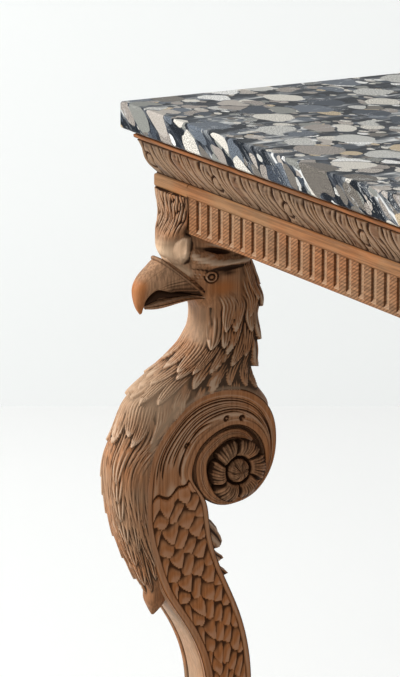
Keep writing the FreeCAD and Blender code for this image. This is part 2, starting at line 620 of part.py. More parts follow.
def rail_pegs(stiles, rear_legs):
    """Drill the peg holes through posts and tenons, and make the pegs."""
    pegs = []
    rails = {node.Label: node for node in nodes}
    high = RAIL_MIDDLE + " + peg_step"
    low = RAIL_MIDDLE + " - peg_step"
    wide = "peg_diameter + joint_gap"
    for word, side in SIDES:
        drive = "-X" if side < 0 else "+X"
        turn = LEFTWARD if side < 0 else RIGHTWARD
        front_x = on_side(side, STILE_INSIDE + " + tenon_length / 2")
        deep = "stile_depth - tenon_inset + peg_end"
        cut_round(stiles[side], "front_peg_hole", "-Y", (front_x, high), STILE_BACK,
                  deep + " + joint_gap", wide)
        cut_round(rails["front_rail"], word + "_peg_hole", "+Y", (front_x, high), RAIL_FACE,
                  "rail_thick", wide)
        pegs.append(rod(word + "_front_peg", "peg_diameter", deep, FORWARD, front_x, STILE_BACK, high))
        side_y = STILE_BACK + " - tenon_length / 2"
        across = "stile_width - peg_end"
        cut_round(stiles[side], "side_peg_hole", drive, (side_y, low), on_side(side, STILE_INSIDE),
                  across + " + joint_gap", wide)
        start = on_side(side, STILE_INSIDE)
        cut_round(rails[word + "_rail"], "front_peg_hole", drive, (side_y, low), start, across, wide)
        pegs.append(rod(word + "_side_peg", "peg_diameter", across, turn, start, side_y, low))
        back_x = on_side(side, REAR_INSIDE + " + tenon_length / 2")
        deep = "rear_depth - peg_end"
        cut_round(rear_legs[side], "back_peg_hole", "+Y", (back_x, high), REAR_FRONT,
                  deep + " + joint_gap", wide)
        cut_round(rails["back_rail"], word + "_peg_hole", "-Y", (back_x, high), BACK_PLANE,
                  "rail_thick", wide)
        pegs.append(rod(word + "_back_peg", "peg_diameter", deep, BACKWARD, back_x, REAR_FRONT, high))
        rear_y = REAR_FRONT + " + tenon_length / 2"
        across = "rear_width - peg_end"
        cut_round(rear_legs[side], "side_peg_hole", drive, (rear_y, low), on_side(side, REAR_INSIDE),
                  across + " + joint_gap", wide)
        start = on_side(side, REAR_INSIDE)
        cut_round(rails[word + "_rail"], "back_peg_hole", drive, (rear_y, low), start, across, wide)
        pegs.append(rod(word + "_rear_peg", "peg_diameter", across, turn, start, rear_y, low))
    group = doc.addObject("Part::Compound", "rail_pegs")
    group.Links = pegs
    keep(group, "rail_pegs")


def make_bearers():
    for word, side in SIDES:
        body = new_body(word + "_bearer")
        x = ("%d * bearer_place - bearer_width / 2 + joint_gap" % side,
             "%d * bearer_place + bearer_width / 2 - joint_gap" % side)
        y = (RAIL_BACK + " - bearer_seat", BACK_PLANE + " - rail_thick + bearer_seat")
        add_block(body, "bar", x, y, (RAIL_TOP + " - bearer_height", RAIL_TOP))


def screw(name, reach, turn, x, y, z):
    """Countersunk wood screw: cone head at the point, shank along the turn."""
    shank = rod(name + "_shank", "screw_diameter", reach, turn, x, y, z)
    head = doc.addObject("Part::Cone", name + "_head")
    bind(head, Radius1="screw_head / 2", Radius2="screw_diameter / 2", Height="screw_head_rise")
    head.Placement = Placement(Vector(0, 0, 0), turn)
    place(head, x, y, z)
    whole = doc.addObject("Part::MultiFuse", name)
    whole.Shapes = [shank, head]
    return whole


def make_blocks():
    """Corner blocks between rails and legs, each with one screw into its rail."""
    screws = []
    z = RAIL_TOP + " - block_drop"
    level = z + " - block_height / 2"
    corners = (("front", STILE_INSIDE, RAIL_BACK, 1), ("back", REAR_INSIDE, BACK_PLANE + " - rail_thick", -1))
    for row, inside, face, way in corners:
        for word, side in SIDES:
            name = "%s_%s_block" % (row, word)
            body = new_body(name)
            plan = new_sketch(body, "plan", "XY_Plane", z + " - block_height")
            corner_x = on_side(side, inside)
            add_polygon(plan, ((corner_x, face), (on_side(side, inside + " - block_long"), face),
                               (corner_x, "%s + %d * block_short" % (face, way))))
            add_feature(body, "Pad", "wedge", plan, "block_height")
            x = on_side(side, inside + " - block_screw_place")
            depth = "block_short * (1 - block_screw_place / block_long)"
            start = "%s + %d * %s" % (face, way, depth)
            drill = "-Y" if way > 0 else "+Y"
            cut_round(body, "screw_hole", drill, (x, level), start, depth, SCREW_HOLE)
            sink = "%s + %d * block_short / 2" % (face, way)
            cut_round(body, "head_seat", "+Y" if way > 0 else "-Y", (x, level), sink, "block_short",
                      "screw_head + joint_gap")
            cone = body.newObject("PartDesign::SubtractiveCone", "countersink")
            bind(cone, Radius1="(screw_head + joint_gap) / 2", Radius2="(screw_diameter + joint_gap) / 2",
                 Height="screw_head_rise")
            turn = FORWARD if way > 0 else BACKWARD
            cone.Placement = Placement(Vector(size(x), size(sink), size(level)), turn)
            place(cone, x, sink, level)
            doc.recompute()
            screws.append(screw(name + "_screw", "block_short / 2 + screw_bite", turn, x, sink, level))
    group = doc.addObject("Part::Compound", "block_screws")
    group.Links = screws
    keep(group, "block_screws")


def make_cornice_screws():
    screws = []
    reach = "rail_thick + cornice_bite"
    for i, x in enumerate(front_screw_places()):
        screws.append(rod("front_screw_%d" % i, "screw_diameter", reach, FORWARD, x, RAIL_BACK,
                          SCREW_LEVEL))
    for word, side in SIDES:
        turn = LEFTWARD if side < 0 else RIGHTWARD
        inner = on_side(side, SIDE_FACE + " - rail_thick")
        for i, y in enumerate(side_screw_places()):
            screws.append(rod("%s_screw_%d" % (word, i), "screw_diameter", reach, turn, inner, y,
                              SCREW_LEVEL))
    group = doc.addObject("Part::Compound", "cornice_screws")
    group.Links = screws
    keep(group, "cornice_screws")


def leg_point(share):
    """Point of the scroll's side view from shares of its depth and height."""
    back, rise = share
    if rise < FOOT_TOP_SHARE:
        level = "plinth_height + foot_height * %s" % (rise / FOOT_TOP_SHARE)
    elif rise < SCROLL_FOOT_SHARE:
        along = (rise - FOOT_TOP_SHARE) / (SCROLL_FOOT_SHARE - FOOT_TOP_SHARE)
        level = "%s + (%s - %s) * %s" % (FOOT_TOP, SCROLL_FOOT, FOOT_TOP, along)
    else:
        level = "%s - scroll_height * %s" % (SCROLL_TOP, (1 - rise) / (1 - SCROLL_FOOT_SHARE))
    return Vector(size("scroll_depth") * back - size("scroll_front"), size(level), 0)


def scroll_outline():
    front = [leg_point(share) for share in FRONT_SHARES]
    back = [leg_point(share) for share in BACK_SHARES]
    foot = [leg_point(share) for share in FOOT_SHARES]
    return front, back, (back[-1], foot[0]), foot


def scale_field():
    """Sunk field with fish scales between the two borders of the shank."""
    step = Vector(size("border_width") * BORDER_SLOPE_SHARE, 0, 0)
    front = [leg_point(share) + step for share in FIELD_FRONT_SHARES]
    back = [leg_point(share) - step for share in FIELD_BACK_SHARES]
    return front, (front[-1], back[0]), back, (back[-1], front[0])


def strand_field():
    """Sunk field with leaf strands between the outer border and the rosette ring."""
    middle = Vector(size("volute_back"), size(VOLUTE_MIDDLE), 0)
    ring = size("rosette_radius + ring_width")
    outer = []
    inner = []
    for share in STRAND_SHARES:
        point = leg_point(share)
        inward = (middle - point).normalize()
        outer.append(point + inward * size("border_width"))
        inner.append(middle - inward * ring)
    inner.reverse()
    return outer, (outer[-1], inner[0]), inner, (inner[-1], outer[0])


def make_scroll_leg(word, side):
    body = new_body(word + "_scroll_leg")
    outline = add_path(new_sketch(body, "side_view", "YZ_Plane"), *scroll_outline())
    add_feature(body, "Pad", "plank", outline, "leg_width", midplane=True)
    middles = (("volute_dish", "volute_back", VOLUTE_MIDDLE, "rosette_radius"),
               ("foot_dish", "-foot_front", FOOT_MIDDLE, "foot_rosette_radius"))
    for cheek, way in (("near", 1), ("far", -1)):
        plane = on_side(way, "leg_width / 2")
        for field, points in (("scales", scale_field()), ("strands", strand_field())):
            sketch = add_path(new_sketch(body, "%s_%s" % (cheek, field), "YZ_Plane", plane), *points)
            cut_feature(body, "%s_%s_field" % (cheek, field), sketch, "field_depth", backward=way < 0)
        for dish, y, z, radius in middles:
            cut_round(body, "%s_%s" % (cheek, dish), "-X" if way > 0 else "+X", (y, z), plane, "dish_depth",
                      "2 * " + radius)
    cut_round(body, "plinth_dowel_hole", "+Z", ("0", "(plinth_back - plinth_front) / 2"), "plinth_height",
              "dowel_length / 2 - foot_rosette_radius / 2 + joint_gap", "dowel_diameter + joint_gap")
    cut_round(body, "breast_dowel_hole", "+Y", ("0", BREAST_DOWEL), "-scroll_front - overcut",
              "dowel_length / 2 + joint_gap + overcut", "dowel_diameter + joint_gap")
    place(body, on_side(side, LEG_PLACE), BAND_PLANE)


def make_rosette(label, side, cheek, y, z, radius, ball):
    """Rosette in its dish: turned disc with parted petals round a ball."""
    body = new_body(label)
    section = new_sketch(body, "section", "XZ_Plane")
    wide = "(%s - joint_gap)" % radius
    petal = [("%s * %s" % (wide, out), "dish_depth * %s" % up) for out, up in PETAL_SHARES]
    seat = "dish_depth * %s" % BALL_SEAT_SHARE
    add_polygon(section, [(0, 0), (wide, 0)] + petal + [(ball, seat), (0, seat)])
    disc = body.newObject("PartDesign::Revolution", "disc")
    disc.Profile = section
    disc.ReferenceAxis = (origin_part(body, "Z_Axis"), [""])
    doc.recompute()
    slit = new_sketch(body, "slit_plan", "XY_Plane", "dish_depth * %s" % SLIT_TOP_SHARE)
    inside = "%s * %s" % (wide, SLIT_INSIDE_SHARE)
    add_polygon(slit, rectangle(inside, wide + " + overcut", "-overcut", "overcut"))
    cut = cut_feature(body, "slit", slit, "dish_depth * %s" % SLIT_DEEP_SHARE)
    petals = body.newObject("PartDesign::PolarPattern", "petals")
    petals.Originals = [cut]
    petals.Axis = (origin_part(body, "Z_Axis"), [""])
    bind(petals, Occurrences="petal_count")
    body.Tip = petals
    doc.recompute()
    globe = body.newObject("PartDesign::AdditiveSphere", "globe")
    bind(globe, Radius=ball, AttachmentOffset__Base__z=seat, Angle1=0)
    globe.AttachmentSupport = (origin_part(body, "XY_Plane"), [""])
    globe.MapMode = "FlatFace"
    doc.recompute()
    body.Placement = Placement(Vector(0, 0, 0), RIGHTWARD if cheek > 0 else LEFTWARD)
    floor = "%d * (leg_width / 2 - dish_depth)" % cheek
    place(body, on_side(side, LEG_PLACE) + " + " + floor, BAND_PLANE + " + (%s)" % y, z)


def oval(name, half_long, half_wide, turn, y, z):
    """Ellipse bound to the sheet, its long axis along the turn's X."""
    ring = doc.addObject("Part::Ellipse", name)
    bind(ring, MajorRadius=half_long, MinorRadius=half_wide)
    ring.Placement = Placement(Vector(0, 0, 0), turn)
    place(ring, 0, y, z)
    return ring


def loft(name, rings):
    skin = doc.addObject("Part::Loft", name)
    skin.Sections = rings
    skin.Solid = True
    return skin


def level_rings(name, shares, foot, height, reach):
    """Level sections of neck and head, each from its front to its back."""
    rings = []
    turn = Rotation(Vector(0, 0, 1), -90)
    for i, (rise, front, back, wide) in enumerate(shares):
        ahead = "%s * %s" % (reach, front)
        behind = "neck_back * %s" % back
        rings.append(oval("%s_ring_%d" % (name, i), "(%s + %s) / 2" % (ahead, behind),
                          "neck_width * %s / 2" % wide, turn, "(%s - %s) / 2" % (behind, ahead),
                          "%s + %s * %s" % (foot, height, rise)))
    return rings


def cut_by(label, base, tools, side):
    """Take the tools off a form, then stand it on its leg."""
    form = base
    for i, tool in enumerate(tools):
        cut = doc.addObject("Part::Cut", "%s_cut_%d" % (label, i))
        cut.Base = form
        cut.Tool = tool
        form = cut
    place(form, on_side(side, LEG_PLACE), BAND_PLANE)
    doc.recompute()
    return keep(form, label)


def scroll_tool(name, back, up):
    """The scroll's side view as a wide cutter, moved by the clearance that the joint needs."""
    edges = []
    for points in scroll_outline():
        if len(points) == 2:
            edges.append(Part.LineSegment(points[0], points[1]).toShape())
        else:
            curve = Part.BSplineCurve()
            curve.interpolate(points)
            edges.append(curve.toShape())
    flat = Part.Face(Part.Wire(edges))
    wide = size("neck_width + brow_width")
    cutter = doc.addObject("Part::Feature", name)
    cutter.Shape = flat.extrude(Vector(0, 0, wide))
    turn = Rotation(Vector(0, 1, 0), Vector(0, 0, 1), Vector(1, 0, 0), "XYZ")
    cutter.Placement = Placement(Vector(-wide / 2, size(back), size(up)), turn)
    return cutter


def dowel_hole(name, turn, y, z, extra="0"):
    """Cutter for half of a dowel, from the joint inward."""
    return rod(name, "dowel_diameter + joint_gap", "dowel_length / 2 + joint_gap + " + extra, turn, 0, y, z)


NECK_DOWEL = "(rail_setback - band_reach + stile_depth) / 2"
HEAD_DOWEL = "band_reach + stile_depth / 2"
DOWN = Rotation(Vector(1, 0, 0), 180)


def make_breast(word, side):
    name = word + "_breast"
    body = loft(name + "_form", level_rings(name, BREAST_SHARES, NECK_JOINT + " - breast_height",
                                            "breast_height", BREAST_FRONT))
    tools = [scroll_tool(name + "_scroll", "-seat_gap", "seat_gap"),
             dowel_hole(name + "_neck_hole", DOWN, NECK_DOWEL, NECK_JOINT),
             dowel_hole(name + "_scroll_hole", FORWARD, "-scroll_front + 3 * overcut",
                        BREAST_DOWEL, "3 * overcut")]
    cut_by(name, body, tools, side)


def make_crest(name):
    """Crest in front of the leg's top block, drawn in side view."""
    body = doc.addObject("PartDesign::Body", name)
    foot = size(RAIL_FOOT)
    front = [Vector(-size("beak_reach") * out, foot + size("frieze_height") * up, 0)
             for out, up in CREST_SHARES]
    back = size("band_reach + crest_notch")
    deep = size("stile_depth") / 2
    turn = [Vector(deep, front[-1].y, 0), Vector(deep, foot, 0), Vector(back, foot, 0),
            Vector(back, front[0].y, 0)]
    view = new_sketch(body, "side_view", "YZ_Plane")
    add_path(view, front, (front[-1], turn[0]), (turn[0], turn[1]), (turn[1], turn[2]), (turn[2], turn[3]),
             (turn[3], front[0]))
    tuft = add_feature(body, "Pad", "tuft", view, "stile_width - 2 * crest_side", midplane=True)
    sides = size("stile_width / 2 - crest_side")

    def wanted(edge):
        box = edge.BoundBox
        curved = edge.Curve.TypeId == "Part::GeomBSplineCurve"
        return len(edge.Vertexes) == 2 and curved and box.XLength < sides

    dress(body, "Fillet", "soft_sides", tuft, "crest_side * 2", wanted)
    return body


def make_head(word, side):
    name = word + "_eagle_head"
    skull = loft(name + "_skull", level_rings(name, HEAD_SHARES, NECK_JOINT, "head_height", "beak_reach"))
    rings = []
    for i, (out, up, tilt, tall, wide) in enumerate(BEAK_SHARES):
        lean = math.radians(tilt)
        along = Vector(0, -math.sin(lean), math.cos(lean))
        turn = Rotation(along, Vector(1, 0, 0), Vector(0, 0, 0), "XYZ")
        rings.append(oval("%s_beak_%d" % (name, i), "beak_height * %s" % tall, "beak_height * %s" % wide,
                          turn, "-beak_reach * %s" % out, "%s + head_height * %s" % (NECK_JOINT, up)))
    beak = loft(name + "_beak", rings)
    rings = []
    flat = Rotation(Vector(1, 0, 0), Vector(0, 0, 1), Vector(0, 0, 0), "XYZ")
    for i, (out, up, wide, tall) in enumerate(JAW_SHARES):
        rings.append(oval("%s_jaw_%d" % (name, i), "beak_height * %s" % wide, "beak_height * %s" % tall, flat,
                          "-beak_reach * %s" % out, "%s + head_height * %s" % (NECK_JOINT, up)))
    jaw = loft(name + "_jaw", rings)
    brow = doc.addObject("Part::Ellipsoid", name + "_brow")
    out, up, long_share, tall_share = BROW_SHARES
    bind(brow, Radius1="head_height * %s" % tall_share, Radius2="brow_width / 2",
         Radius3="beak_reach * %s" % long_share)
    place(brow, 0, "-beak_reach * %s" % out, "%s + head_height * %s" % (NECK_JOINT, up))
    eyes = []
    out, up, across = EYE_SHARES
    for cheek in (-1, 1):
        eye = doc.addObject("Part::Sphere", "%s_eye_%d" % (name, len(eyes)))
        bind(eye, Radius="eye_diameter / 2")
        place(eye, "%d * neck_width / 2 * %s" % (cheek, across), "-beak_reach * %s" % out,
              "%s + head_height * %s" % (NECK_JOINT, up))
        eyes.append(eye)
    whole = doc.addObject("Part::MultiFuse", name + "_form")
    whole.Shapes = [skull, beak, jaw, brow, make_crest(name + "_crest")] + eyes
    tools = [dowel_hole(name + "_neck_hole", UPRIGHT, NECK_DOWEL, NECK_JOINT),
             dowel_hole(name + "_top_hole", DOWN, HEAD_DOWEL, RAIL_FOOT)]
    cut_by(name, whole, tools, side)


def make_leaf(word, side):
    """Leaf spray against the back of the shank, its tips hanging free."""
    name = word + "_back_leaf"
    body = doc.addObject("PartDesign::Body", name + "_form")
    points = []
    for back, rise, out in LEAF_SHARES:
        points.append(leg_point((back, rise)) + Vector(size("leaf_reach") * out, 0, 0))
    inside = size("border_width")
    points += [points[-1] - Vector(inside, 0, 0), points[0] - Vector(inside, 0, 0)]
    view = new_sketch(body, "side_view", "YZ_Plane")
    add_path(view, *[(points[i], points[(i + 1) % len(points)]) for i in range(len(points))])
    add_feature(body, "Pad", "spray", view, "leaf_width", midplane=True)
    cut_by(name, body, [scroll_tool(name + "_scroll", "seat_gap", "0")], side)


def make_plinth(word, side):
    body = new_body(word + "_plinth")
    x = (on_side(side, LEG_PLACE) + " - plinth_width / 2", on_side(side, LEG_PLACE) + " + plinth_width / 2")
    base = add_block(body, "base", x, (BAND_PLANE + " - plinth_front", BAND_PLANE + " + plinth_back"),
                     (0, "plinth_height"))
    top = size("plinth_height")
    dress(body, "Chamfer", "weathering", base, "plinth_arris", lambda edge: edge.BoundBox.ZMin > top / 2)
    cut_round(body, "dowel_hole", "-Z",
              (on_side(side, LEG_PLACE), BAND_PLANE + " + (plinth_back - plinth_front) / 2"),
              "plinth_height", "dowel_length / 2 + joint_gap", "dowel_diameter + joint_gap")


def make_rear_plinth(word, side):
    body = new_body(word + "_rear_plinth")
    middle = "(%s - rear_width / 2)" % SIDE_FACE
    half = "rear_foot_width / 2 + rear_plinth_side"
    base_x = (on_side(side, middle) + " - (%s)" % half, on_side(side, middle) + " + " + half)
    base_y = (BACK_PLANE + " - rear_foot_depth - rear_plinth_side", BACK_PLANE)
    base = add_block(body, "base", base_x, base_y, (0, "plinth_height"))
    top = size("plinth_height")
    rear = size(BACK_PLANE + " - overcut")
    dress(body, "Chamfer", "weathering", base, "plinth_arris",
          lambda edge: edge.BoundBox.ZMin > top / 2 and edge.BoundBox.YMin < rear)
    cut_round(body, "dowel_hole", "-Z", (on_side(side, middle), BACK_PLANE + " - rear_foot_depth / 2"),
              "plinth_height", "dowel_length / 2 + joint_gap", "dowel_diameter + joint_gap")


def make_leg_dowels():
    """Dowels that pin each leg's pieces to one another."""
    bars = []
    for word, side in SIDES:
        x = on_side(side, LEG_PLACE)
        half = "dowel_length / 2"
        wide = "dowel_diameter"
        bars.append(rod(word + "_head_dowel", wide, "dowel_length", UPRIGHT, x,
                        BAND_PLANE + " + " + HEAD_DOWEL, RAIL_FOOT + " - " + half))
        bars.append(rod(word + "_neck_dowel", wide, "dowel_length", UPRIGHT, x,
                        BAND_PLANE + " + " + NECK_DOWEL, NECK_JOINT + " - " + half))
        bars.append(rod(word + "_breast_dowel", wide, "dowel_length", BACKWARD, x,
                        BAND_PLANE + " - scroll_front - " + half, BREAST_DOWEL))
        bars.append(rod(word + "_foot_dowel", wide, "dowel_length - foot_rosette_radius / 2", UPRIGHT, x,
                        BAND_PLANE + " + (plinth_back - plinth_front) / 2", "plinth_height - " + half))
        bars.append(rod(word + "_rear_dowel", wide, "dowel_length", UPRIGHT,
                        on_side(side, SIDE_FACE + " - rear_width / 2"), BACK_PLANE + " - rear_foot_depth / 2",
                        "plinth_height - " + half))
    group = doc.addObject("Part::Compound", "leg_dowels")
    group.Links = bars
    keep(group, "leg_dowels")


make_top()
make_front_rail()
make_back_rail()
make_front_cornice()
make_bands()
make_bearers()
stiles = {}
rear_legs = {}
for word, side in SIDES:
    make_side_rail(word, side)
    make_side_cornice(word, side)
    stiles[side] = make_stile(word, side)
    rear_legs[side] = make_rear_leg(word, side)
    make_scroll_leg(word, side)
    make_breast(word, side)
    make_head(word, side)
    make_leaf(word, side)
    make_plinth(word, side)
    make_rear_plinth(word, side)
    for cheek, way in (("inner", -side), ("outer", side)):
        make_rosette("%s_%s_rosette" % (word, cheek), side, way, "volute_back", VOLUTE_MIDDLE,
                     "rosette_radius", "rosette_ball")
        make_rosette("%s_%s_foot_rosette" % (word, cheek), side, way, "-foot_front", FOOT_MIDDLE,
                     "foot_rosette_radius", "foot_rosette_ball")
make_blocks()
make_cornice_screws()
rail_pegs(stiles, rear_legs)
make_leg_dowels()
doc.recompute()

for thing in doc.Objects:
    if "Invalid" in thing.State or "Error" in thing.State:
        raise RuntimeError("%s is not right: %s" % (thing.Label, thing.State))
os.makedirs("parts", exist_ok=True)
for node in nodes:
    if not node.Shape.isValid():
        raise RuntimeError("%s has a bad shape" % node.Label)
    node.Shape.exportStep("parts/%s.step" % node.Label)
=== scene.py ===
import math

import bpy
import numpy as np
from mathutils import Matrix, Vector


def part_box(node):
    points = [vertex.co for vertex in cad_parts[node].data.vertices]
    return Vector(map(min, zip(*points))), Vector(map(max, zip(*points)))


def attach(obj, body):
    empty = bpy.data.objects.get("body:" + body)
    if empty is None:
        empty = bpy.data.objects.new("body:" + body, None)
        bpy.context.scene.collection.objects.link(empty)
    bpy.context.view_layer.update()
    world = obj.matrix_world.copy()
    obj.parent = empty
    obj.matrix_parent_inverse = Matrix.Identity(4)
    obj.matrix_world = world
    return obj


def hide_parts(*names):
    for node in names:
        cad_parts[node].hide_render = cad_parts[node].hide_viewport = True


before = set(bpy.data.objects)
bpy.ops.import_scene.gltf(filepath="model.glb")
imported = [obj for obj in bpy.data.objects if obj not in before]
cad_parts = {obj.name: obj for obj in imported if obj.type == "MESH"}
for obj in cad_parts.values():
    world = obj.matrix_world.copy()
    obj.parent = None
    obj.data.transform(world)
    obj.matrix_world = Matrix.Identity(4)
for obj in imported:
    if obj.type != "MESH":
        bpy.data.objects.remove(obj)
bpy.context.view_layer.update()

MM = 0.001
SIDES = ("left", "right")


# Selecting and placing pieces

def clear_selection():
    """Nothing is selected, so an operator acts only on what is picked after it."""
    bpy.ops.object.select_all(action="DESELECT")


def pick(piece):
    """One piece is selected and active."""
    clear_selection()
    piece.select_set(True)
    bpy.context.view_layer.objects.active = piece


def settle(piece, slot, *nodes):
    """The piece rides on the table and stands for its nodes, which are hidden; its slot is not used."""
    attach(piece, "root")
    if nodes:
        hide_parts(*nodes)


# Node helpers for the finishes

def fill(tree, node, inputs):
    """Inputs of a node are linked to other sockets or filled in with values."""
    for name, value in inputs.items():
        if isinstance(value, bpy.types.NodeSocket):
            tree.links.new(value, node.inputs[name])
        else:
            node.inputs[name].default_value = value


def add_node(tree, kind, inputs=None, **settings):
    """A node with its settings, and with its inputs linked or filled in."""
    node = tree.nodes.new(kind)
    for name, value in settings.items():
        setattr(node, name, value)
    fill(tree, node, inputs or {})
    return node


def blend(tree, factor, first, second, kind="MIX"):
    """Two colours mixed by a factor."""
    inputs = {0: factor, 6: first, 7: second}
    return add_node(tree, "ShaderNodeMix", inputs, data_type="RGBA", blend_type=kind).outputs[2]


def shaded(tree, colour, shade):
    """A colour made darker or brighter by a value."""
    grey = add_node(tree, "ShaderNodeCombineColor", {"Red": shade, "Green": shade, "Blue": shade})
    return blend(tree, 1.0, colour, grey.outputs["Color"], "MULTIPLY")


def reckon(tree, rule, first, second=0.0, third=0.0):
    """One sum on values."""
    return add_node(tree, "ShaderNodeMath", {0: first, 1: second, 2: third}, operation=rule).outputs[0]


def span(tree, value, low, high, start=0.0, end=1.0):
    """A value read smoothly from one range into another."""
    inputs = {"Value": value, "From Min": low, "From Max": high, "To Min": start, "To Max": end}
    return add_node(tree, "ShaderNodeMapRange", inputs, interpolation_type="SMOOTHSTEP").outputs["Result"]


def ramp(tree, factor, stops, kind="LINEAR"):
    """A colour ramp from its stops."""
    node = add_node(tree, "ShaderNodeValToRGB", {"Fac": factor})
    node.color_ramp.interpolation = kind
    points = node.color_ramp.elements
    while len(points) < len(stops):
        points.new(0.5)
    for point, (place, colour) in zip(points, stops):
        point.position = place
        point.color = (*colour, 1.0)
    return node.outputs["Color"]


def own_place(tree, turn=(0, 0, 0), scale=(1, 1, 1), start=(0, 0, 0), kind="POINT"):
    """The piece's own coordinates in metres, turned and stretched for a pattern."""
    turned = add_node(tree, "ShaderNodeMapping", {
        "Vector": add_node(tree, "ShaderNodeTexCoord").outputs["Object"],
        "Location": start,
        "Rotation": tuple(math.radians(angle) for angle in turn),
        "Scale": scale,
    }, vector_type=kind)
    return turned.outputs["Vector"]


def three_ways(tree, kind, output):
    """The X, Y and Z of what a node says of a point, such as its place or the way that it faces."""
    return add_node(tree, "ShaderNodeSeparateXYZ", {"Vector": add_node(tree, kind).outputs[output]}).outputs


def noise(tree, vector, scale, detail=4.0, rough=0.55):
    """A noise pattern's value."""
    node = add_node(tree, "ShaderNodeTexNoise", {
        "Vector": vector, "Scale": scale, "Detail": detail, "Roughness": rough,
    })
    return node.outputs["Fac"]


def cells(tree, vector, scale, feature="F1"):
    """A cell pattern: its distance, and the cell's own colour where it has one."""
    node = add_node(tree, "ShaderNodeTexVoronoi", {"Vector": vector, "Scale": scale}, feature=feature)
    colour = None if feature == "DISTANCE_TO_EDGE" else node.outputs["Color"]
    return node.outputs["Distance"], colour


def new_finish(name):
    """An empty material with its shader and its output."""
    finish = bpy.data.materials.new(name)
    finish.use_nodes = True
    tree = finish.node_tree
    tree.nodes.clear()
    shader = tree.nodes.new("ShaderNodeBsdfPrincipled")
    output = tree.nodes.new("ShaderNodeOutputMaterial")
    tree.links.new(shader.outputs["BSDF"], output.inputs["Surface"])
    return finish, tree, shader


def bump(tree, shader, height, depth, strength):
    """Surface height in metres of depth."""
    node = add_node(tree, "ShaderNodeBump", {"Height": height, "Strength": strength, "Distance": depth})
    fill(tree, shader, {"Normal": node.outputs["Normal"]})


def new_group(name, inputs, outputs):
    """A shared effect with named sockets."""
    tree = bpy.data.node_groups.new(name, "ShaderNodeTree")
    for label, kind, value in inputs:
        socket = tree.interface.new_socket(label, in_out="INPUT", socket_type=kind)
        if value is not None:
            socket.default_value = value
    for label, kind in outputs:
        tree.interface.new_socket(label, in_out="OUTPUT", socket_type=kind)
    start = tree.nodes.new("NodeGroupInput")
    end = tree.nodes.new("NodeGroupOutput")
    return tree, start.outputs, end.inputs


def use_group(tree, group, inputs):
    """A shared effect placed in a material with its own values."""
    return add_node(tree, "ShaderNodeGroup", inputs, node_tree=group).outputs


# Effects that several finishes share

def make_pine_grain():
    """Fine streaks along the wood and cloudy patches of age, from a stretched vector."""
    tree, given, result = new_group(
        "pine_grain",
        (("Along", "NodeSocketVector", None), ("Around", "NodeSocketVector", None)),
        (("Streak", "NodeSocketFloat"), ("Cloud", "NodeSocketFloat"), ("Pore", "NodeSocketFloat")),
    )
    streak = noise(tree, given["Along"], 1.0, 6.0, 0.65)
    tree.links.new(span(tree, streak, 0.3, 0.7), result["Streak"])
    cloud = noise(tree, given["Around"], 1.0, 3.0, 0.6)
    tree.links.new(span(tree, cloud, 0.32, 0.68), result["Cloud"])
    pore = noise(tree, given["Along"], 4.0, 2.0, 0.5)
    tree.links.new(span(tree, pore, 0.55, 0.75), result["Pore"])
    return tree


def make_wax_dirt_and_shade():
    """Old waxed colour: warm or grey by patches, dark with dirt and painted shade in the cuts and rubbed pale
    on the ridges.
    """
    tree, given, result = new_group(
        "wax_dirt_and_shade",
        (
            ("Streak", "NodeSocketFloat", 0.5), ("Cloud", "NodeSocketFloat", 0.5),
            ("Cut", "NodeSocketFloat", 0.0), ("Warm", "NodeSocketColor", None),
            ("Grey", "NodeSocketColor", None), ("Dirt_and_shade", "NodeSocketColor", None),
            ("Rubbed", "NodeSocketColor", None),
        ),
        (("Color", "NodeSocketColor"), ("Roughness", "NodeSocketFloat")),
    )
    body = blend(tree, given["Cloud"], given["Warm"], given["Grey"])
    body = shaded(tree, body, span(tree, given["Streak"], 0.0, 1.0, 0.62, 1.18))
    deep = span(tree, given["Cut"], 0.08, 0.75)
    # Cuts darkened towards the dark colour: dirt and painted shade in the hollows
    body = blend(tree, deep, body, given["Dirt_and_shade"])
    ridge = span(tree, reckon(tree, "MULTIPLY", given["Cut"], -1.0), 0.12, 0.8, 0.0, 0.75)
    body = blend(tree, ridge, body, given["Rubbed"])
    tree.links.new(body, result["Color"])
    dull = reckon(tree, "MULTIPLY_ADD", given["Streak"], -0.12, 0.5)
    dull = reckon(tree, "MULTIPLY_ADD", deep, 0.25, dull)
    tree.links.new(dull, result["Roughness"])
    return tree


PINE_GRAIN = make_pine_grain()
WAX_DIRT_AND_SHADE = make_wax_dirt_and_shade()

WARM_PINE = (0.390, 0.160, 0.062, 1)
GREY_PINE = (0.350, 0.200, 0.112, 1)
# Dark colour of dirt and painted shade in the cuts
PINE_DIRT_AND_SHADE = (0.028, 0.011, 0.004, 1)
RUBBED_PINE = (0.600, 0.430, 0.300, 1)
GRAIN_UP = (330, 330, 10)
GRAIN_ACROSS = (10, 330, 330)
PATCHES = (13, 13, 11)
WAX_SHEEN = 0.10


def wood(name, along, warm, grey, rubbed=RUBBED_PINE, cut=None, tone=None):
    """A waxed pine finish with its grain along one way."""
    finish, tree, shader = new_finish(name)
    grain = use_group(tree, PINE_GRAIN, {
        "Along": own_place(tree, scale=along), "Around": own_place(tree, scale=PATCHES),
    })
    cuts = cut(tree) if cut else 0.0
    wax = use_group(tree, WAX_DIRT_AND_SHADE, {
        "Streak": grain["Streak"], "Cloud": grain["Cloud"], "Cut": cuts,
        "Warm": warm, "Grey": grey, "Dirt_and_shade": PINE_DIRT_AND_SHADE, "Rubbed": rubbed,
    })
    colour = tone(tree, wax["Color"]) if tone else wax["Color"]
    fill(tree, shader, {
        "Base Color": colour, "Roughness": wax["Roughness"], "Specular IOR Level": WAX_SHEEN,
    })
    return finish, tree, shader, grain


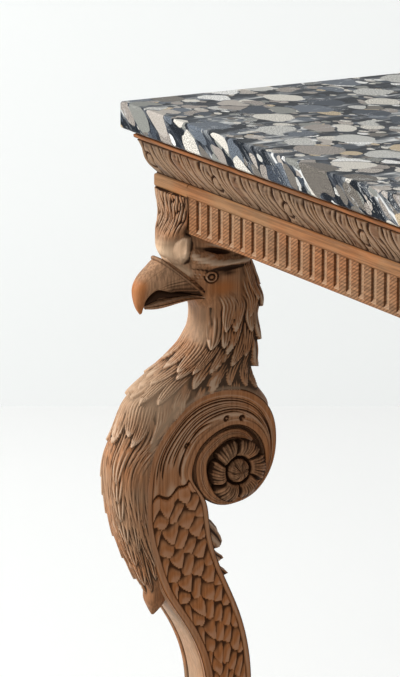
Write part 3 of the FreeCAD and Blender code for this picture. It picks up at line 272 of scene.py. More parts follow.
def plain_wood(name, along, warm, grey, marks, depth, strength, **carving):
    """A waxed wood that its streaks or its pores roughen."""
    finish, tree, shader, grain = wood(name, along, warm, grey, **carving)
    bump(tree, shader, grain[marks], depth, strength)
    return finish


ORANGE_PINE = (0.42, 0.138, 0.034, 1)
PALE_PINE = (0.50, 0.335, 0.215, 1)
# Brightest pale: painted light on the most lit fronts of the head
PAINTED_LIGHT_PINE = (0.86, 0.61, 0.40, 1)


def carving_marks(tree):
    """How dark a carved point is painted, from how deep it lies below its surroundings and from painted
    shade, kept on the mesh.
    """
    return add_node(tree, "ShaderNodeAttribute", attribute_name="cut").outputs["Fac"]


def toned(tree, colour):
    """A colour turned to orange or to pale where the mesh keeps a tone; the pale is partly painted light, and
    the lowest tones take the brightest pale of painted light.
    """
    tone = add_node(tree, "ShaderNodeAttribute", attribute_name="tone").outputs["Fac"]
    orange = span(tree, tone, 0.0, 1.0, 0.0, 0.75)
    lost = reckon(tree, "MULTIPLY", tone, -1.0)
    warmed = blend(tree, orange, colour, ORANGE_PINE)
    worn_and_painted_light = blend(tree, span(tree, lost, 0.0, 1.0, 0.0, 0.75), warmed, PALE_PINE)
    return blend(tree, span(tree, lost, 1.0, 2.0, 0.0, 0.8), worn_and_painted_light, PAINTED_LIGHT_PINE)


def make_carved_pine():
    """Pine of all the carving, dark with dirt and painted shade in its cuts and rubbed pale on its ridges."""
    finish, tree, shader, grain = wood(
        "carved_pine", GRAIN_UP, WARM_PINE, GREY_PINE, cut=carving_marks, tone=toned,
    )
    marks = reckon(tree, "MULTIPLY_ADD", grain["Pore"], -0.5, grain["Streak"])
    bump(tree, shader, marks, 0.35 * MM, 0.6)
    return finish


CORNICE_WARM = (0.130, 0.053, 0.019, 1)
CORNICE_GREY = (0.118, 0.066, 0.034, 1)
CORNICE_RUBBED = (0.27, 0.172, 0.104, 1)


def make_cornice_pine():
    """Darker pine of the carved cornice."""
    return plain_wood(
        "cornice_pine", GRAIN_ACROSS, CORNICE_WARM, CORNICE_GREY, "Streak", 0.3 * MM, 0.5,
        rubbed=CORNICE_RUBBED, cut=carving_marks, tone=toned,
    )


BAND_WARM = (0.270, 0.106, 0.036, 1)
BAND_GREY = (0.240, 0.122, 0.053, 1)
FRIEZE_WARM = (0.33, 0.132, 0.050, 1)
FRIEZE_GREY = (0.30, 0.160, 0.080, 1)
STROKE_TURN = (0, 32, 0)
RAIL_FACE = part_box("front_cornice")[1].y
SIDE_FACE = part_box("left_cornice")[1].x


def hatching(tree):
    """Fine slanting strokes that a toothed plane left on the frieze."""
    strokes = add_node(tree, "ShaderNodeTexWave", {
        "Vector": own_place(tree, turn=STROKE_TURN), "Scale": 96.0, "Distortion": 2.2, "Detail": 2.0,
        "Detail Scale": 30.0,
    }, wave_type="BANDS", bands_direction="Z").outputs["Fac"]
    return span(tree, strokes, 0.35, 0.8)


def flute_depth(tree):
    """How far a point of the frieze lies behind the front or side face, as a dark or pale cut: painted shade
    on the flutes' walls, pale on their floors, painted highlight where a face looks up, and the hatching's
    strokes.
    """
    where = three_ways(tree, "ShaderNodeTexCoord", "Object")
    front = reckon(tree, "SUBTRACT", where["Y"], RAIL_FACE)
    side = reckon(tree, "SUBTRACT", -SIDE_FACE, reckon(tree, "ABSOLUTE", where["X"]))
    behind = reckon(tree, "MINIMUM", front, side)
    # Painted shade on the flutes' walls
    wall = span(tree, behind, 0.1 * MM, 0.8 * MM, 0.0, 0.30)
    floor = span(tree, behind, 2.3 * MM, 2.9 * MM)
    # Painted highlight where a face looks up, as on the flutes' sloping ends
    sloped = span(tree, three_ways(tree, "ShaderNodeNewGeometry", "Normal")["Z"], 0.15, 0.4)
    hatched = reckon(tree, "MULTIPLY", hatching(tree), span(tree, behind, 0.1 * MM, 0.5 * MM, 0.40, 0.1))
    plain_and_pale = reckon(tree, "MAXIMUM", floor, sloped)
    return reckon(tree, "ADD", reckon(tree, "MULTIPLY_ADD", plain_and_pale, -0.85, wall), hatched)


def make_frieze_pine():
    """Fluted pine of the rails, hatched on its ribs and pale in its flutes, with painted shade on their walls
    and painted highlight on faces that look up.
    """
    finish, tree, shader = wood(
        "frieze_pine", GRAIN_ACROSS, FRIEZE_WARM, FRIEZE_GREY, rubbed=PALE_PINE, cut=flute_depth,
    )[:3]
    bump(tree, shader, hatching(tree), -0.6 * MM, 0.8)
    return finish


SAWN_WARM = (0.33, 0.19, 0.09, 1)
SAWN_GREY = (0.27, 0.175, 0.10, 1)
OAK_WARM = (0.22, 0.12, 0.055, 1)
OAK_GREY = (0.17, 0.10, 0.05, 1)
DARK_STEEL = (0.10, 0.095, 0.09, 1)
RUST = (0.10, 0.045, 0.02, 1)


def make_screw_steel():
    """Dark steel of old screws, rusty in patches."""
    finish, tree, shader = new_finish("screw_steel")
    rust = span(tree, noise(tree, own_place(tree), 240.0, 5.0, 0.6), 0.42, 0.62)
    fill(tree, shader, {
        "Base Color": blend(tree, rust, DARK_STEEL, RUST),
        "Metallic": reckon(tree, "MULTIPLY_ADD", rust, -0.7, 0.9),
        "Roughness": reckon(tree, "MULTIPLY_ADD", rust, 0.4, 0.38),
    })
    return finish


# Where each shade starts among the pebbles, and the shade
PEBBLE_SHADES = (
    (0.00, (0.310, 0.276, 0.246)), (0.13, (0.055, 0.065, 0.082)), (0.25, (0.232, 0.235, 0.215)),
    (0.36, (0.430, 0.388, 0.345)), (0.46, (0.125, 0.143, 0.168)), (0.58, (0.630, 0.595, 0.530)),
    (0.68, (0.160, 0.144, 0.126)), (0.77, (0.500, 0.400, 0.270)), (0.81, (0.520, 0.512, 0.480)),
    (0.90, (0.760, 0.752, 0.725)),
)
PEBBLE_DIP = (5, 32, 14)
PEBBLE_START = (0.33, 0.11, 0.0)
PEBBLE_LENGTH, PEBBLE_BREADTH, PEBBLE_THICKNESS = 95 * MM, 46 * MM, 34 * MM
SMEAR_LENGTH, SMEAR_THICKNESS = 90 * MM, 11 * MM
# Layers from the smallest pebbles: how many to a bed's length, how far each reaches and the share left out
PEBBLE_LAYERS = ((4.4, 0.45, 0.52), (2.1, 0.44, 0.34), (1.1, 0.46, 0.24))
GROUND_SHADES = (
    (0.0, (0.008, 0.010, 0.014)), (0.46, (0.012, 0.015, 0.020)), (0.53, (0.045, 0.052, 0.064)),
    (0.60, (0.240, 0.250, 0.255)), (0.66, (0.660, 0.660, 0.640)),
)
FLECK_GREY = (0.42, 0.43, 0.43, 1)
VEIN_WHITE = (0.66, 0.67, 0.66, 1)
# Painted light: how much the stone's colour is dimmed on its edges and brightened on its top
EDGE_PAINTED_LIGHT, TOP_PAINTED_LIGHT = 0.93, 1.02
STONE_SHEEN = 0.015


def bedded(tree, size):
    """Coordinates of the stone's dipping beds, in pebbles of a size in metres."""
    return own_place(tree, PEBBLE_DIP, size, PEBBLE_START, "TEXTURE")


def pebble_layer(tree, vector, scale, radius, left_out, speck):
    """Rounded pebbles of one size: where they lie and their colours."""
    near, tint = cells(tree, vector, scale)
    rim = cells(tree, vector, scale, "DISTANCE_TO_EDGE")[0]
    own = add_node(tree, "ShaderNodeSeparateColor", {"Color": tint}).outputs
    reach = reckon(tree, "MULTIPLY_ADD", own["Blue"], -0.16, near)
    oval = span(tree, reach, radius - 0.015, radius, 1.0, 0.0)
    gap = span(tree, rim, 0.014, 0.034)
    there = reckon(tree, "GREATER_THAN", own["Green"], left_out)
    mask = reckon(tree, "MULTIPLY", reckon(tree, "MULTIPLY", oval, gap), there)
    colour = ramp(tree, own["Red"], PEBBLE_SHADES, "CONSTANT")
    grainy = span(tree, own["Blue"], 0.35, 0.7, 0.4, 1.0)
    grained = shaded(tree, colour, span(tree, speck, 0.36, 0.66, 0.35, 1.55))
    return mask, blend(tree, grainy, colour, grained)


def make_pebble_stone():
    """Pudding stone: pebbles of three sizes in dipping beds of a near black ground, with painted light making
    the top brighter than the edges.
    """
    finish, tree, shader = new_finish("pebble_stone")
    flat = bedded(tree, (PEBBLE_LENGTH, PEBBLE_BREADTH, PEBBLE_THICKNESS))
    wander = add_node(tree, "ShaderNodeTexNoise", {"Vector": flat, "Scale": 1.5, "Detail": 2.0})
    wander = add_node(tree, "ShaderNodeVectorMath", {
        0: wander.outputs["Color"], 1: (0.30, 0.30, 0.30),
    }, operation="MULTIPLY")
    lie = add_node(tree, "ShaderNodeVectorMath", {0: flat, 1: wander.outputs[0]}, operation="ADD").outputs[0]
    speck = noise(tree, own_place(tree, scale=(620, 620, 800)), 1.0, 3.0, 0.75)
    smear = noise(tree, bedded(tree, (SMEAR_LENGTH, SMEAR_LENGTH, SMEAR_THICKNESS)), 1.0, 5.0, 0.62)
    flecks = span(tree, speck, 0.60, 0.72, 0.0, 0.7)
    colour = blend(tree, flecks, ramp(tree, smear, GROUND_SHADES), FLECK_GREY)
    for scale, radius, left_out in PEBBLE_LAYERS:
        mask, tint = pebble_layer(tree, lie, scale, radius, left_out, speck)
        colour = blend(tree, mask, colour, tint)
    ridge = reckon(tree, "ABSOLUTE", reckon(tree, "SUBTRACT", smear, 0.5))
    vein = span(tree, ridge, 0.002, 0.007, 0.85, 0.0)
    patch = span(tree, noise(tree, flat, 0.8, 2.0, 0.5), 0.5, 0.58)
    colour = blend(tree, reckon(tree, "MULTIPLY", vein, patch), colour, VEIN_WHITE)
    # Painted light, brighter where the stone faces up
    facing = three_ways(tree, "ShaderNodeNewGeometry", "Normal")
    painted_light = span(tree, facing["Z"], 0.3, 0.9, EDGE_PAINTED_LIGHT, TOP_PAINTED_LIGHT)
    fill(tree, shader, {
        "Base Color": shaded(tree, colour, painted_light),
        "Roughness": span(tree, speck, 0.3, 0.7, 0.30, 0.42),
        "Specular IOR Level": STONE_SHEEN,
    })
    return finish


FINISHES = {
    "pebble_stone": make_pebble_stone(),
    "carved_pine": make_carved_pine(),
    "frieze_pine": make_frieze_pine(),
    "cornice_pine": make_cornice_pine(),
    "band_pine": plain_wood("band_pine", GRAIN_ACROSS, BAND_WARM, BAND_GREY, "Streak", 0.3 * MM, 0.5),
    "inner_pine": plain_wood("inner_pine", GRAIN_ACROSS, SAWN_WARM, SAWN_GREY, "Streak", 0.6 * MM, 0.7),
    "peg_oak": plain_wood("peg_oak", GRAIN_UP, OAK_WARM, OAK_GREY, "Pore", 0.3 * MM, 0.6),
    "screw_steel": make_screw_steel(),
}


def dress_frame():
    """Each kept node gets the finish of its slot."""
    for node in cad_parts.values():
        own = node.material_slots[0].material.name.split(".")[0]
        node.material_slots[0].material = FINISHES[own]


dress_frame()


# Carving helpers: a carved surface is a grid primitive whose points are laid on its form

def ease(values, low, high):
    """Nought below low, one above high and smooth between."""
    share = np.clip((values - low) / (high - low), 0.0, 1.0)
    return share * share * (3.0 - 2.0 * share)


def hump(distance, reach):
    """A soft ridge across a line."""
    return np.exp(-np.square(distance / reach))


def smooth_line(knots, values, at):
    """A natural cubic through the values at the knots, read at other places."""
    knots = np.asarray(knots, float)
    values = np.asarray(values, float)
    count = len(knots)
    step = np.diff(knots)
    slope = np.diff(values, axis=0) / step[:, None]
    system = np.eye(count)
    right = np.zeros_like(values)
    for row in range(1, count - 1):
        system[row, row - 1:row + 2] = step[row - 1], 2 * (step[row - 1] + step[row]), step[row]
        right[row] = 6 * (slope[row] - slope[row - 1])
    curve = np.linalg.solve(system, right)
    part = np.clip(np.searchsorted(knots, at, side="right") - 1, 0, count - 2)
    width = step[part][:, None]
    after = (at - knots[part])[:, None]
    before = width - after
    rounds = (curve[part] * before ** 3 + curve[part + 1] * after ** 3) / (6 * width)
    first = (values[part] / width - curve[part] * width / 6) * before
    second = (values[part + 1] / width - curve[part + 1] * width / 6) * after
    return rounds + first + second


def walked(points):
    """How far along a run of points each one lies."""
    steps = np.linalg.norm(np.diff(points, axis=0), axis=1)
    return np.concatenate(([0.0], np.cumsum(steps)))


def evened(field, reach, closed):
    """A field averaged over its neighbours; its columns may close on themselves."""
    for axis, wraps in ((0, False), (1, closed)):
        margin = [(0, 0), (0, 0)]
        margin[axis] = (reach + 1, reach)
        total = np.cumsum(np.pad(field, margin, mode="wrap" if wraps else "edge"), axis=axis)
        size = field.shape[axis]
        upper = np.take(total, range(2 * reach + 1, 2 * reach + 1 + size), axis=axis)
        lower = np.take(total, range(0, size), axis=axis)
        field = (upper - lower) / (2 * reach + 1)
    return field


def cut_depth(relief, reach, depth, closed=True):
    """How far each point lies below its surroundings, for the dirt and painted shade in hollows and the
    rubbing on ridges.
    """
    around = evened(evened(relief, reach, closed), reach, closed)
    return np.clip((around - relief) / depth, -1.0, 1.0)


def read_line(at, knots, points):
    """Straight runs between the points at the knots, read at other places."""
    return np.stack([np.interp(at, knots, column) for column in points.T], axis=1)


def once_round(count):
    """Angles once round in even steps, as one row."""
    return np.linspace(0, 2 * np.pi, count, endpoint=False)[None, :]


def outward(surface):
    """Normals of a grid surface whose columns close on themselves."""
    down = np.gradient(surface, axis=0)
    around = (np.roll(surface, -1, axis=1) - np.roll(surface, 1, axis=1)) / 2
    normal = np.cross(around, down)
    return normal / np.maximum(np.linalg.norm(normal, axis=2, keepdims=True), 1e-12)


def closed_ring(field):
    """The first column repeated at the end, so that a sheet rolls up into a tube."""
    return np.concatenate((field, field[:, :1]), axis=1)


MERGE_GAP = 0.02 * MM
SMOOTH_ANGLE = 60


def close_up(piece):
    """Seams and poles are merged, open ends filled and all faces turned outwards."""
    pick(piece)
    bpy.ops.object.mode_set(mode="EDIT")
    bpy.ops.mesh.select_all(action="SELECT")
    bpy.ops.mesh.remove_doubles(threshold=MERGE_GAP)
    bpy.ops.mesh.fill_holes(sides=0)
    bpy.ops.mesh.select_all(action="SELECT")
    bpy.ops.mesh.normals_make_consistent(inside=False)
    bpy.ops.object.mode_set(mode="OBJECT")
    bpy.ops.object.shade_smooth_by_angle(angle=math.radians(SMOOTH_ANGLE))


def keep_marks(piece, name, values):
    """A value for every point of the piece, kept on its mesh for the finish."""
    marks = piece.data.attributes.new(name, "FLOAT", "POINT")
    marks.data.foreach_set("value", np.ascontiguousarray(values, np.float32).reshape(-1))


def carved_sheet(name, surface, cut, finish, tone=0.0):
    """A grid primitive laid on a carved surface of metres, with its cuts and its tones kept on the mesh."""
    rows, columns = cut.shape
    clear_selection()
    bpy.ops.mesh.primitive_grid_add(x_subdivisions=columns - 1, y_subdivisions=rows - 1, size=1)
    piece = bpy.context.object
    piece.name = name
    piece.data.name = name
    piece.data.vertices.foreach_set("co", np.ascontiguousarray(surface, np.float32).reshape(-1))
    keep_marks(piece, "cut", cut)
    keep_marks(piece, "tone", np.broadcast_to(tone, cut.shape))
    piece.data.materials.append(finish)
    close_up(piece)
    return piece


def leg_shell(name, side, surface, cut, tone=0.0):
    """A tube in a leg's own measures, rolled up and closed."""
    rolled = on_leg(side, *np.moveaxis(closed_ring(surface), -1, 0))
    tone = closed_ring(np.broadcast_to(tone, cut.shape))
    return carved_sheet(name, rolled, closed_ring(cut), FINISHES["carved_pine"], tone)


def joined(name, shells):
    """Shells carved from one block become one piece."""
    clear_selection()
    for shell in shells:
        shell.select_set(True)
    bpy.context.view_layer.objects.active = shells[0]
    bpy.ops.object.join()
    piece = bpy.context.object
    piece.name = name
    piece.data.name = name
    return piece


def on_leg(side, across, forward, height):
    """Leg measures in millimetres, from the leg's middle and the band's face, as points of the table."""
    low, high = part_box(side + "_scroll_leg")
    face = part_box(side + "_stile")[0].y
    middle = (low.x + high.x) / 2
    return np.stack((middle + across * MM, face - forward * MM, height * MM), axis=-1)


# Scroll leg: a thick strip that rolls up into the volute at its head and into a smaller roll at its foot

LEG_HALF = (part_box("left_scroll_leg")[1].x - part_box("left_scroll_leg")[0].x) / MM / 2
# Front edge forward and height, back edge forward and height, from the foot's roll up to the volute's tail
STRIP = (
    (-20, 112, -27, 121), (-10, 116, -14, 128), (8, 116, 10, 131), (27, 106, 38, 114), (33, 86, 47.5, 84),
    (22, 65, 33, 52), (0, 58, 0, 42.5), (-18, 68, -30, 43), (-26, 90, -50, 55), (-27, 112, -62, 82),
    (-29, 135, -76, 122), (-31, 165, -86, 165), (-30.4, 205, -88.6, 206), (-21, 246, -83.8, 248),
    (-2.5, 283, -73.2, 286), (22, 322, -57.4, 323), (38.5, 366, -41.5, 362), (48.5, 415, -33.5, 401),
    (47, 453, -28, 427), (38, 491, -13, 450), (18.5, 519, -13, 467), (-10, 542.5, -22, 487),
    (-45, 552, -44, 503), (-86.5, 544, -72, 507), (-113.5, 518.5, -95, 493), (-120.3, 485.5, -105, 471),
    (-114, 452.3, -102, 449), (-94.5, 427, -87, 435), (-65, 416.6, -64, 425), (-42, 419.5, -46, 428.5),
    (-23, 436, -35.5, 441), (-16.5, 456, -30.5, 459), (-18.5, 476, -33, 474), (-31, 491, -41, 481.5),
    (-48, 500.5, -53, 489.5), (-67, 503.5, -67.5, 492.5), (-84, 497.5, -80.5, 488), (-94, 486.5, -90.5, 481),
)
# Stations where the foot ends, the shank begins, the wavy line lies and the roll closes on itself
FOOT_STATION, SHANK_STATION, WAVE_STATION, ROLL_STATION = 10, 11, 17, 29
FOOT_ROWS, SHANK_ROWS = 90, 390
CHEEK_COLUMNS = 80
# Where the columns of the front and the back lie, as shares of the half width, closer at the front's grooves
EDGE_PLACES = np.array((0.25, 0.60, 0.65, 0.71, 0.77, 0.82, 0.92))
# The front's grooves, in from its edges and half wide, as shares of the half width
GROOVE_IN, GROOVE_HALF = 0.29, 0.06
GROOVE_SINK, PANEL_SINK = 3.4, 0.5
# How dark the front's grooves are painted, for dirt and painted shade
GROOVE_DIRT_AND_SHADE = 0.95
EDGE_PALE, PANEL_PALE = 0.15, 0.45
BACK_CROWN = 1.2
BACK_ORANGE = 0.2
FRONT_BORDER, BACK_BORDER = 9.5, 7.0
BORDER_LINE = 1.2
ARRIS_DROP, ARRIS_REACH = 1.4, 2.2
WAVE_START, WAVE_CLIMB, WAVE_RIPPLE = 17, 44, 6
FIELD_SINK = 2.4
TAIL_SINK = 5.0
PLAIN_FALL = 13.0
SCALE_STEP = 16.0
SCALE_LENGTH = 25.0
SCALE_LANES = 3
# Grooves of the volute's leaf: place across at each end, where it starts and stops, depth and half width
LEAF_GROOVES = (
    (0.05, 0.10, 0.03, 0.95, 2.0, 1.0), (0.13, 0.20, 0.05, 0.86, 2.3, 1.1),
    (0.21, 0.30, 0.04, 0.80, 2.0, 1.0), (0.29, 0.40, 0.09, 0.68, 1.8, 0.9),
    (0.42, 0.42, 0.10, 0.60, 2.2, 1.1), (0.50, 0.54, 0.07, 0.55, 2.2, 1.1),
    (0.58, 0.66, 0.12, 0.46, 1.8, 0.9), (0.68, 0.70, 0.02, 0.32, 2.8, 1.6),
    (0.77, 0.86, 0.10, 0.27, 1.8, 1.0),
)
# Drilled eyelets of the leaf, forward and height on the leg
EYELETS = ((-76, 515), (-56, 517), (-95, 482), (-6, 492))


def leg_strip(thin=1):
    """The strip's two edges, closer walked above the foot, and how far along each station lies."""
    edges = np.array(STRIP, float)
    stations = walked(edges[:, :2]) * 0.5 + walked(edges[:, 2:]) * 0.5
    foot = np.linspace(0, stations[FOOT_STATION], FOOT_ROWS // thin, endpoint=False)
    at = np.concatenate((foot, np.linspace(stations[FOOT_STATION], stations[-1], SHANK_ROWS // thin)))
    both = smooth_line(stations, edges, at)
    return at, stations, both[:, :2], both[:, 2:]


def by_chance(first, second):
    """A number from 0 to 1 that two counts always give again."""
    return np.sin(first * 12.99 + second * 78.23 + 1.7) * 43.7 % 1.0


def scale_relief(fall, across, field):
    """Overlapping pointed scales, tips down: fall is the way down from the wavy line, across runs 0 to 1."""
    relief = np.zeros_like(fall)
    lane = 1.0 / SCALE_LANES
    for back in (0, 1, 2):
        row = np.floor(fall / SCALE_STEP) - back
        shift = np.where(row % 2 == 0, 0.5, 0.0)
        count = np.round(across / lane - shift)
        chance = by_chance(row, count)
        place = (count + shift + 0.22 * (chance - 0.5)) * lane
        length = SCALE_LENGTH * (0.86 + 0.3 * by_chance(count, row))
        reach = (fall - row * SCALE_STEP) / length
        outline = np.clip(1 - np.clip((reach - 0.3) / 0.7, 0, 1) ** 1.9, 0, 1)
        off = np.abs(across - place) / (lane * 0.6)
        inside = (reach >= 0) & (reach < 1) & (off < outline)
        edge = ease((outline - off) * lane * 0.6 * field, 0.0, 1.5)
        rise = (0.4 + 2.5 * reach - 0.5 * np.square(off) + 0.5 * chance) * edge
        relief = np.maximum(relief, np.where(inside, rise, 0.0))
    return relief


def leaf_relief(share, across, field):
    """Fine grooves of the leaf that curls round the volute, in groups."""
    relief = 2.0 + 0.45 * np.cos(2 * np.pi * (across * 2.6 + 0.25 * share))
    for first, last, start, stop, depth, half in LEAF_GROOVES:
        place = first + (last - first) * share + 0.015 * np.sin(9 * share + 20 * first)
        place = place + 0.12 * np.square(ease(share, stop - 0.12, stop))
        seen = ease(share, start, start + 0.05) * (1 - ease(share, stop - 0.10, stop))
        relief = relief - depth * seen * hump((across - place) * field, half)
    return relief


def cheek_relief(at, share_across, width, stations):
    """Height of the cheek's carving over its plane, and its tone, more orange on the scales."""
    front = np.minimum(FRONT_BORDER, 0.30 * width)
    back = np.minimum(BACK_BORDER, 0.28 * width)
    field = np.maximum(width - front - back, 1.0)
    from_front = share_across * width
    from_back = (1 - share_across) * width
    across = np.clip((from_front - front) / field, 0, 1)
    inside = ease(from_front, front, front + 1.6) * ease(from_back, back, back + 1.6)
    wave_at, roll_at = stations[WAVE_STATION], stations[ROLL_STATION]
    ripple = WAVE_RIPPLE * np.sin(2 * np.pi * 2.2 * across) * np.exp(-2 * across)
    fall = wave_at + WAVE_START + WAVE_CLIMB * across ** 1.3 + ripple - at
    share = np.clip(-fall / (roll_at - wave_at), 0, 1)
    plain = 1.5 * (1 - ease(fall, PLAIN_FALL - 3, PLAIN_FALL + 1))
    scales = np.maximum(scale_relief(np.maximum(fall - PLAIN_FALL, 0), across, field), plain)
    leaf = leaf_relief(share, across, field)
    above = ease(-fall, -1.0, 2.0)
    carving = scales * (1 - above) + leaf * above - 3.0 * hump(fall, 1.5)
    relief = inside * (carving - FIELD_SINK)
    for edge, border, seen in ((from_front, front, 1.0), (from_back, back, 1 - above)):
        relief = relief - ARRIS_DROP * (1 - ease(edge, 0, ARRIS_REACH))
        relief = relief - BORDER_LINE * hump(edge - border, 0.9) * seen
    tone = 0.46 - 0.10 * above * inside + 0.22 * (1 - above) * inside * ease(scales, 0.6, 2.2)
    return relief, tone


def drilled(forward, height):
    """Comma shaped eyelets among the grooves, each in its raised ring."""
    relief = np.zeros_like(forward)
    for place in EYELETS:
        off = np.hypot(forward - place[0], height - place[1])
        relief = relief - 2.8 * hump(off - 2.6, 1.3) * ease(height - place[1] + forward - place[0], -4.5, 0.5)
    return relief


# Discs that close the rolls behind their rosettes: forward, height and radius
ROLL_FLOORS = ((-61, 461, 47), (3, 87, 30))
FLOOR_SINK = 7.0
FLOOR_COLUMNS = 64
# How dark the roll floors are painted, for dirt and painted shade
FLOOR_DIRT_AND_SHADE = 0.6


def make_roll_floor(side, forward, height, radius):
    """A disc sunk in both cheeks of a roll, darkened with dirt and painted shade."""
    turn = once_round(FLOOR_COLUMNS)
    ring = np.array((0.02, 1.0, 1.0, 0.02))[:, None] * radius
    deep = np.array((1, 1, -1, -1))[:, None] * (LEG_HALF - FLOOR_SINK) * np.ones_like(turn)
    surface = np.stack((deep, forward + ring * np.cos(turn), height + ring * np.sin(turn)), axis=-1)
    return leg_shell(side + "_roll_floor", side, surface, np.full(deep.shape, FLOOR_DIRT_AND_SHADE))


def make_scroll_leg(side):
    """The rolled strip with carved cheeks, a pale front between two grooves and a plain back."""
    at, stations, front, back = leg_strip()
    width = np.linalg.norm(back - front, axis=1)[:, None]
    ways = (back - front) / width
    share = np.linspace(0, 1, CHEEK_COLUMNS)[None, :]
    swing = np.concatenate((-EDGE_PLACES[::-1], EDGE_PLACES))[None, :]
    cheek, tone = cheek_relief(at[:, None], share, width, stations)
    inward = share * width
    cheek = cheek + drilled(front[:, :1] + ways[:, :1] * inward, front[:, 1:] + ways[:, 1:] * inward)
    ones = np.ones_like(width)
    panel = ease(1 - np.abs(swing), GROOVE_IN, GROOVE_IN + 0.1) * ones
    groove = hump(1 - np.abs(swing) - GROOVE_IN, GROOVE_HALF) * ease(width, 30, 50)
    hollow = -PANEL_SINK * panel - GROOVE_SINK * groove
    crown = BACK_CROWN * (1 - np.square(swing)) * ones
    near = LEG_HALF + cheek - TAIL_SINK * ease(at, stations[ROLL_STATION + 3], stations[-1])[:, None]
    across = np.concatenate((near, -LEG_HALF * swing * ones, -near[:, ::-1], LEG_HALF * swing * ones), axis=1)
    walk = np.concatenate((
        share * ones, ones + crown / width, share[:, ::-1] * ones, -hollow / width,
    ), axis=1)
    forward = front[:, :1] + ways[:, :1] * walk * width
    height = front[:, 1:] + ways[:, 1:] * walk * width
    relief = np.concatenate((cheek, crown, cheek[:, ::-1], hollow), axis=1)
    pale = -EDGE_PALE - PANEL_PALE * panel
    tones = np.concatenate((tone, BACK_ORANGE * np.ones_like(crown), tone[:, ::-1], pale), axis=1)
    surface = np.stack((across, forward, height), axis=-1)
    cut = cut_depth(relief, 4, 0.85)
    # The front's grooves darkened with dirt and painted shade
    cut[:, -swing.shape[1]:] = GROOVE_DIRT_AND_SHADE * groove
    tones = tones - 0.6 * np.maximum(tones, 0) * np.clip(1.5 * cut, 0, 1)
    strip = leg_shell(side + "_strip", side, surface, cut, tones)
    floors = [make_roll_floor(side, *place) for place in ROLL_FLOORS]
    settle(joined(side + "_scroll", [strip, *floors]), "carved_pine", side + "_scroll_leg")


# Rosettes in the eyes of the rolls

ROSETTE_TURNS = 240
ROSETTE_RINGS = 70
PETALS = 6
BALL_SHARE = 0.38
# Share of the roll's eye that a rosette fills, and its shift back and up in millimetres
ROSETTES = {"_rosette": (0.96, 4.0, -4.0), "_foot_rosette": (1.0, 0.0, 0.0)}


def petal_places(turn, share):
    """Which petal a point lies in, how far from the petal's middle line, and how long that petal is."""
    place = PETALS * (turn + 0.25 * share + 0.3) / (2 * np.pi)
    count = np.floor(place) % PETALS
    return count, 2 * np.abs(place - np.floor(place) - 0.5), 0.90 + 0.14 * by_chance(count, 3)


def rosette_relief(share, turn):
    """Big ruffled petals round a ball cut in sectors: share is the way out from the middle."""
    ball = np.sqrt(np.clip(1 - np.square(share / BALL_SHARE), 0, 1))
    sector = np.abs(np.cos(3 * turn + 5 * share)) ** 0.5
    lines = 0.5 + 0.5 * np.cos(24 * turn + 16 * share)
    knob = ball * (0.66 + 0.26 * sector + 0.06 * lines)
    count, off = petal_places(turn, share)[:2]
    out = np.clip((share - BALL_SHARE) / (1 - BALL_SHARE), 0, 1)
    rise = np.sin(np.pi * np.clip(0.12 + 0.76 * out, 0, 1)) * (0.62 + 0.22 * by_chance(count, 1))
    cup = np.clip(1 - off ** 3.4, 0, 1) ** 0.6
    rays = np.cos(2 * np.pi * 4.0 * off + 2 * by_chance(count, 2)) * ease(out, 0.05, 0.3)
    leaf = rise * (0.30 + 0.70 * cup) + 0.035 * rays + 0.06 * np.square(out) * np.cos(2.5 * np.pi * off)
    gap = ease(share, BALL_SHARE, BALL_SHARE + 0.10)
    return np.where(share < BALL_SHARE, np.maximum(knob, 0.02), np.maximum(leaf, 0.02) * gap)


def make_rosette(side, cheek, word):
    """One rosette, sunk in its roll and standing out from the cheek."""
    node = side + "_" + cheek + word
    low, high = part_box(node)
    filled, shift_back, shift_up = ROSETTES[word]
    radius = (high.z - low.z) / 2 * filled
    middle_y = (low.y + high.y) / 2 + shift_back * MM
    middle_z = (low.z + high.z) / 2 + shift_up * MM
    inner = (cheek == "inner") == (side == "left")
    facing = 1.0 if inner else -1.0
    foot = low.x if inner else high.x
    rise = (high.x - low.x) * 0.98
    share = np.linspace(0, 1, ROSETTE_RINGS)[:, None]
    turn = once_round(ROSETTE_TURNS)
    relief = rosette_relief(share, turn)
    off, length = petal_places(turn, share)[1:]
    scallop = 1 - (1 - length * (1 - 0.16 * off ** 4)) * ease(share, 0.5, 1.0)
    out = radius * share * scallop
    height = foot + facing * rise * (0.2 + 0.8 * relief)
    surface = np.stack((height, middle_y + out * np.cos(turn), middle_z + out * np.sin(turn)), axis=-1)
    rim = surface[-1:].copy()
    rim[..., 0] = foot
    hub = np.empty_like(rim)
    hub[...] = (foot, middle_y, middle_z)
    surface = np.concatenate((surface, rim, hub), axis=0)
    # The rosette darkened all over, and its rim and hub more, as painted shade in the roll's eye
    cut = np.clip(cut_depth(relief * rise / MM, 4, 2.8) + 0.50, -1, 1)
    cut = np.concatenate((cut, np.full_like(cut[:2], 0.7)), axis=0)
    piece = carved_sheet(node + "_flower", closed_ring(surface), closed_ring(cut), FINISHES["carved_pine"])
    settle(piece, "carved_pine", node)


# Plumage of breast, neck and skull: level sections stacked from the pendant tip to the frieze

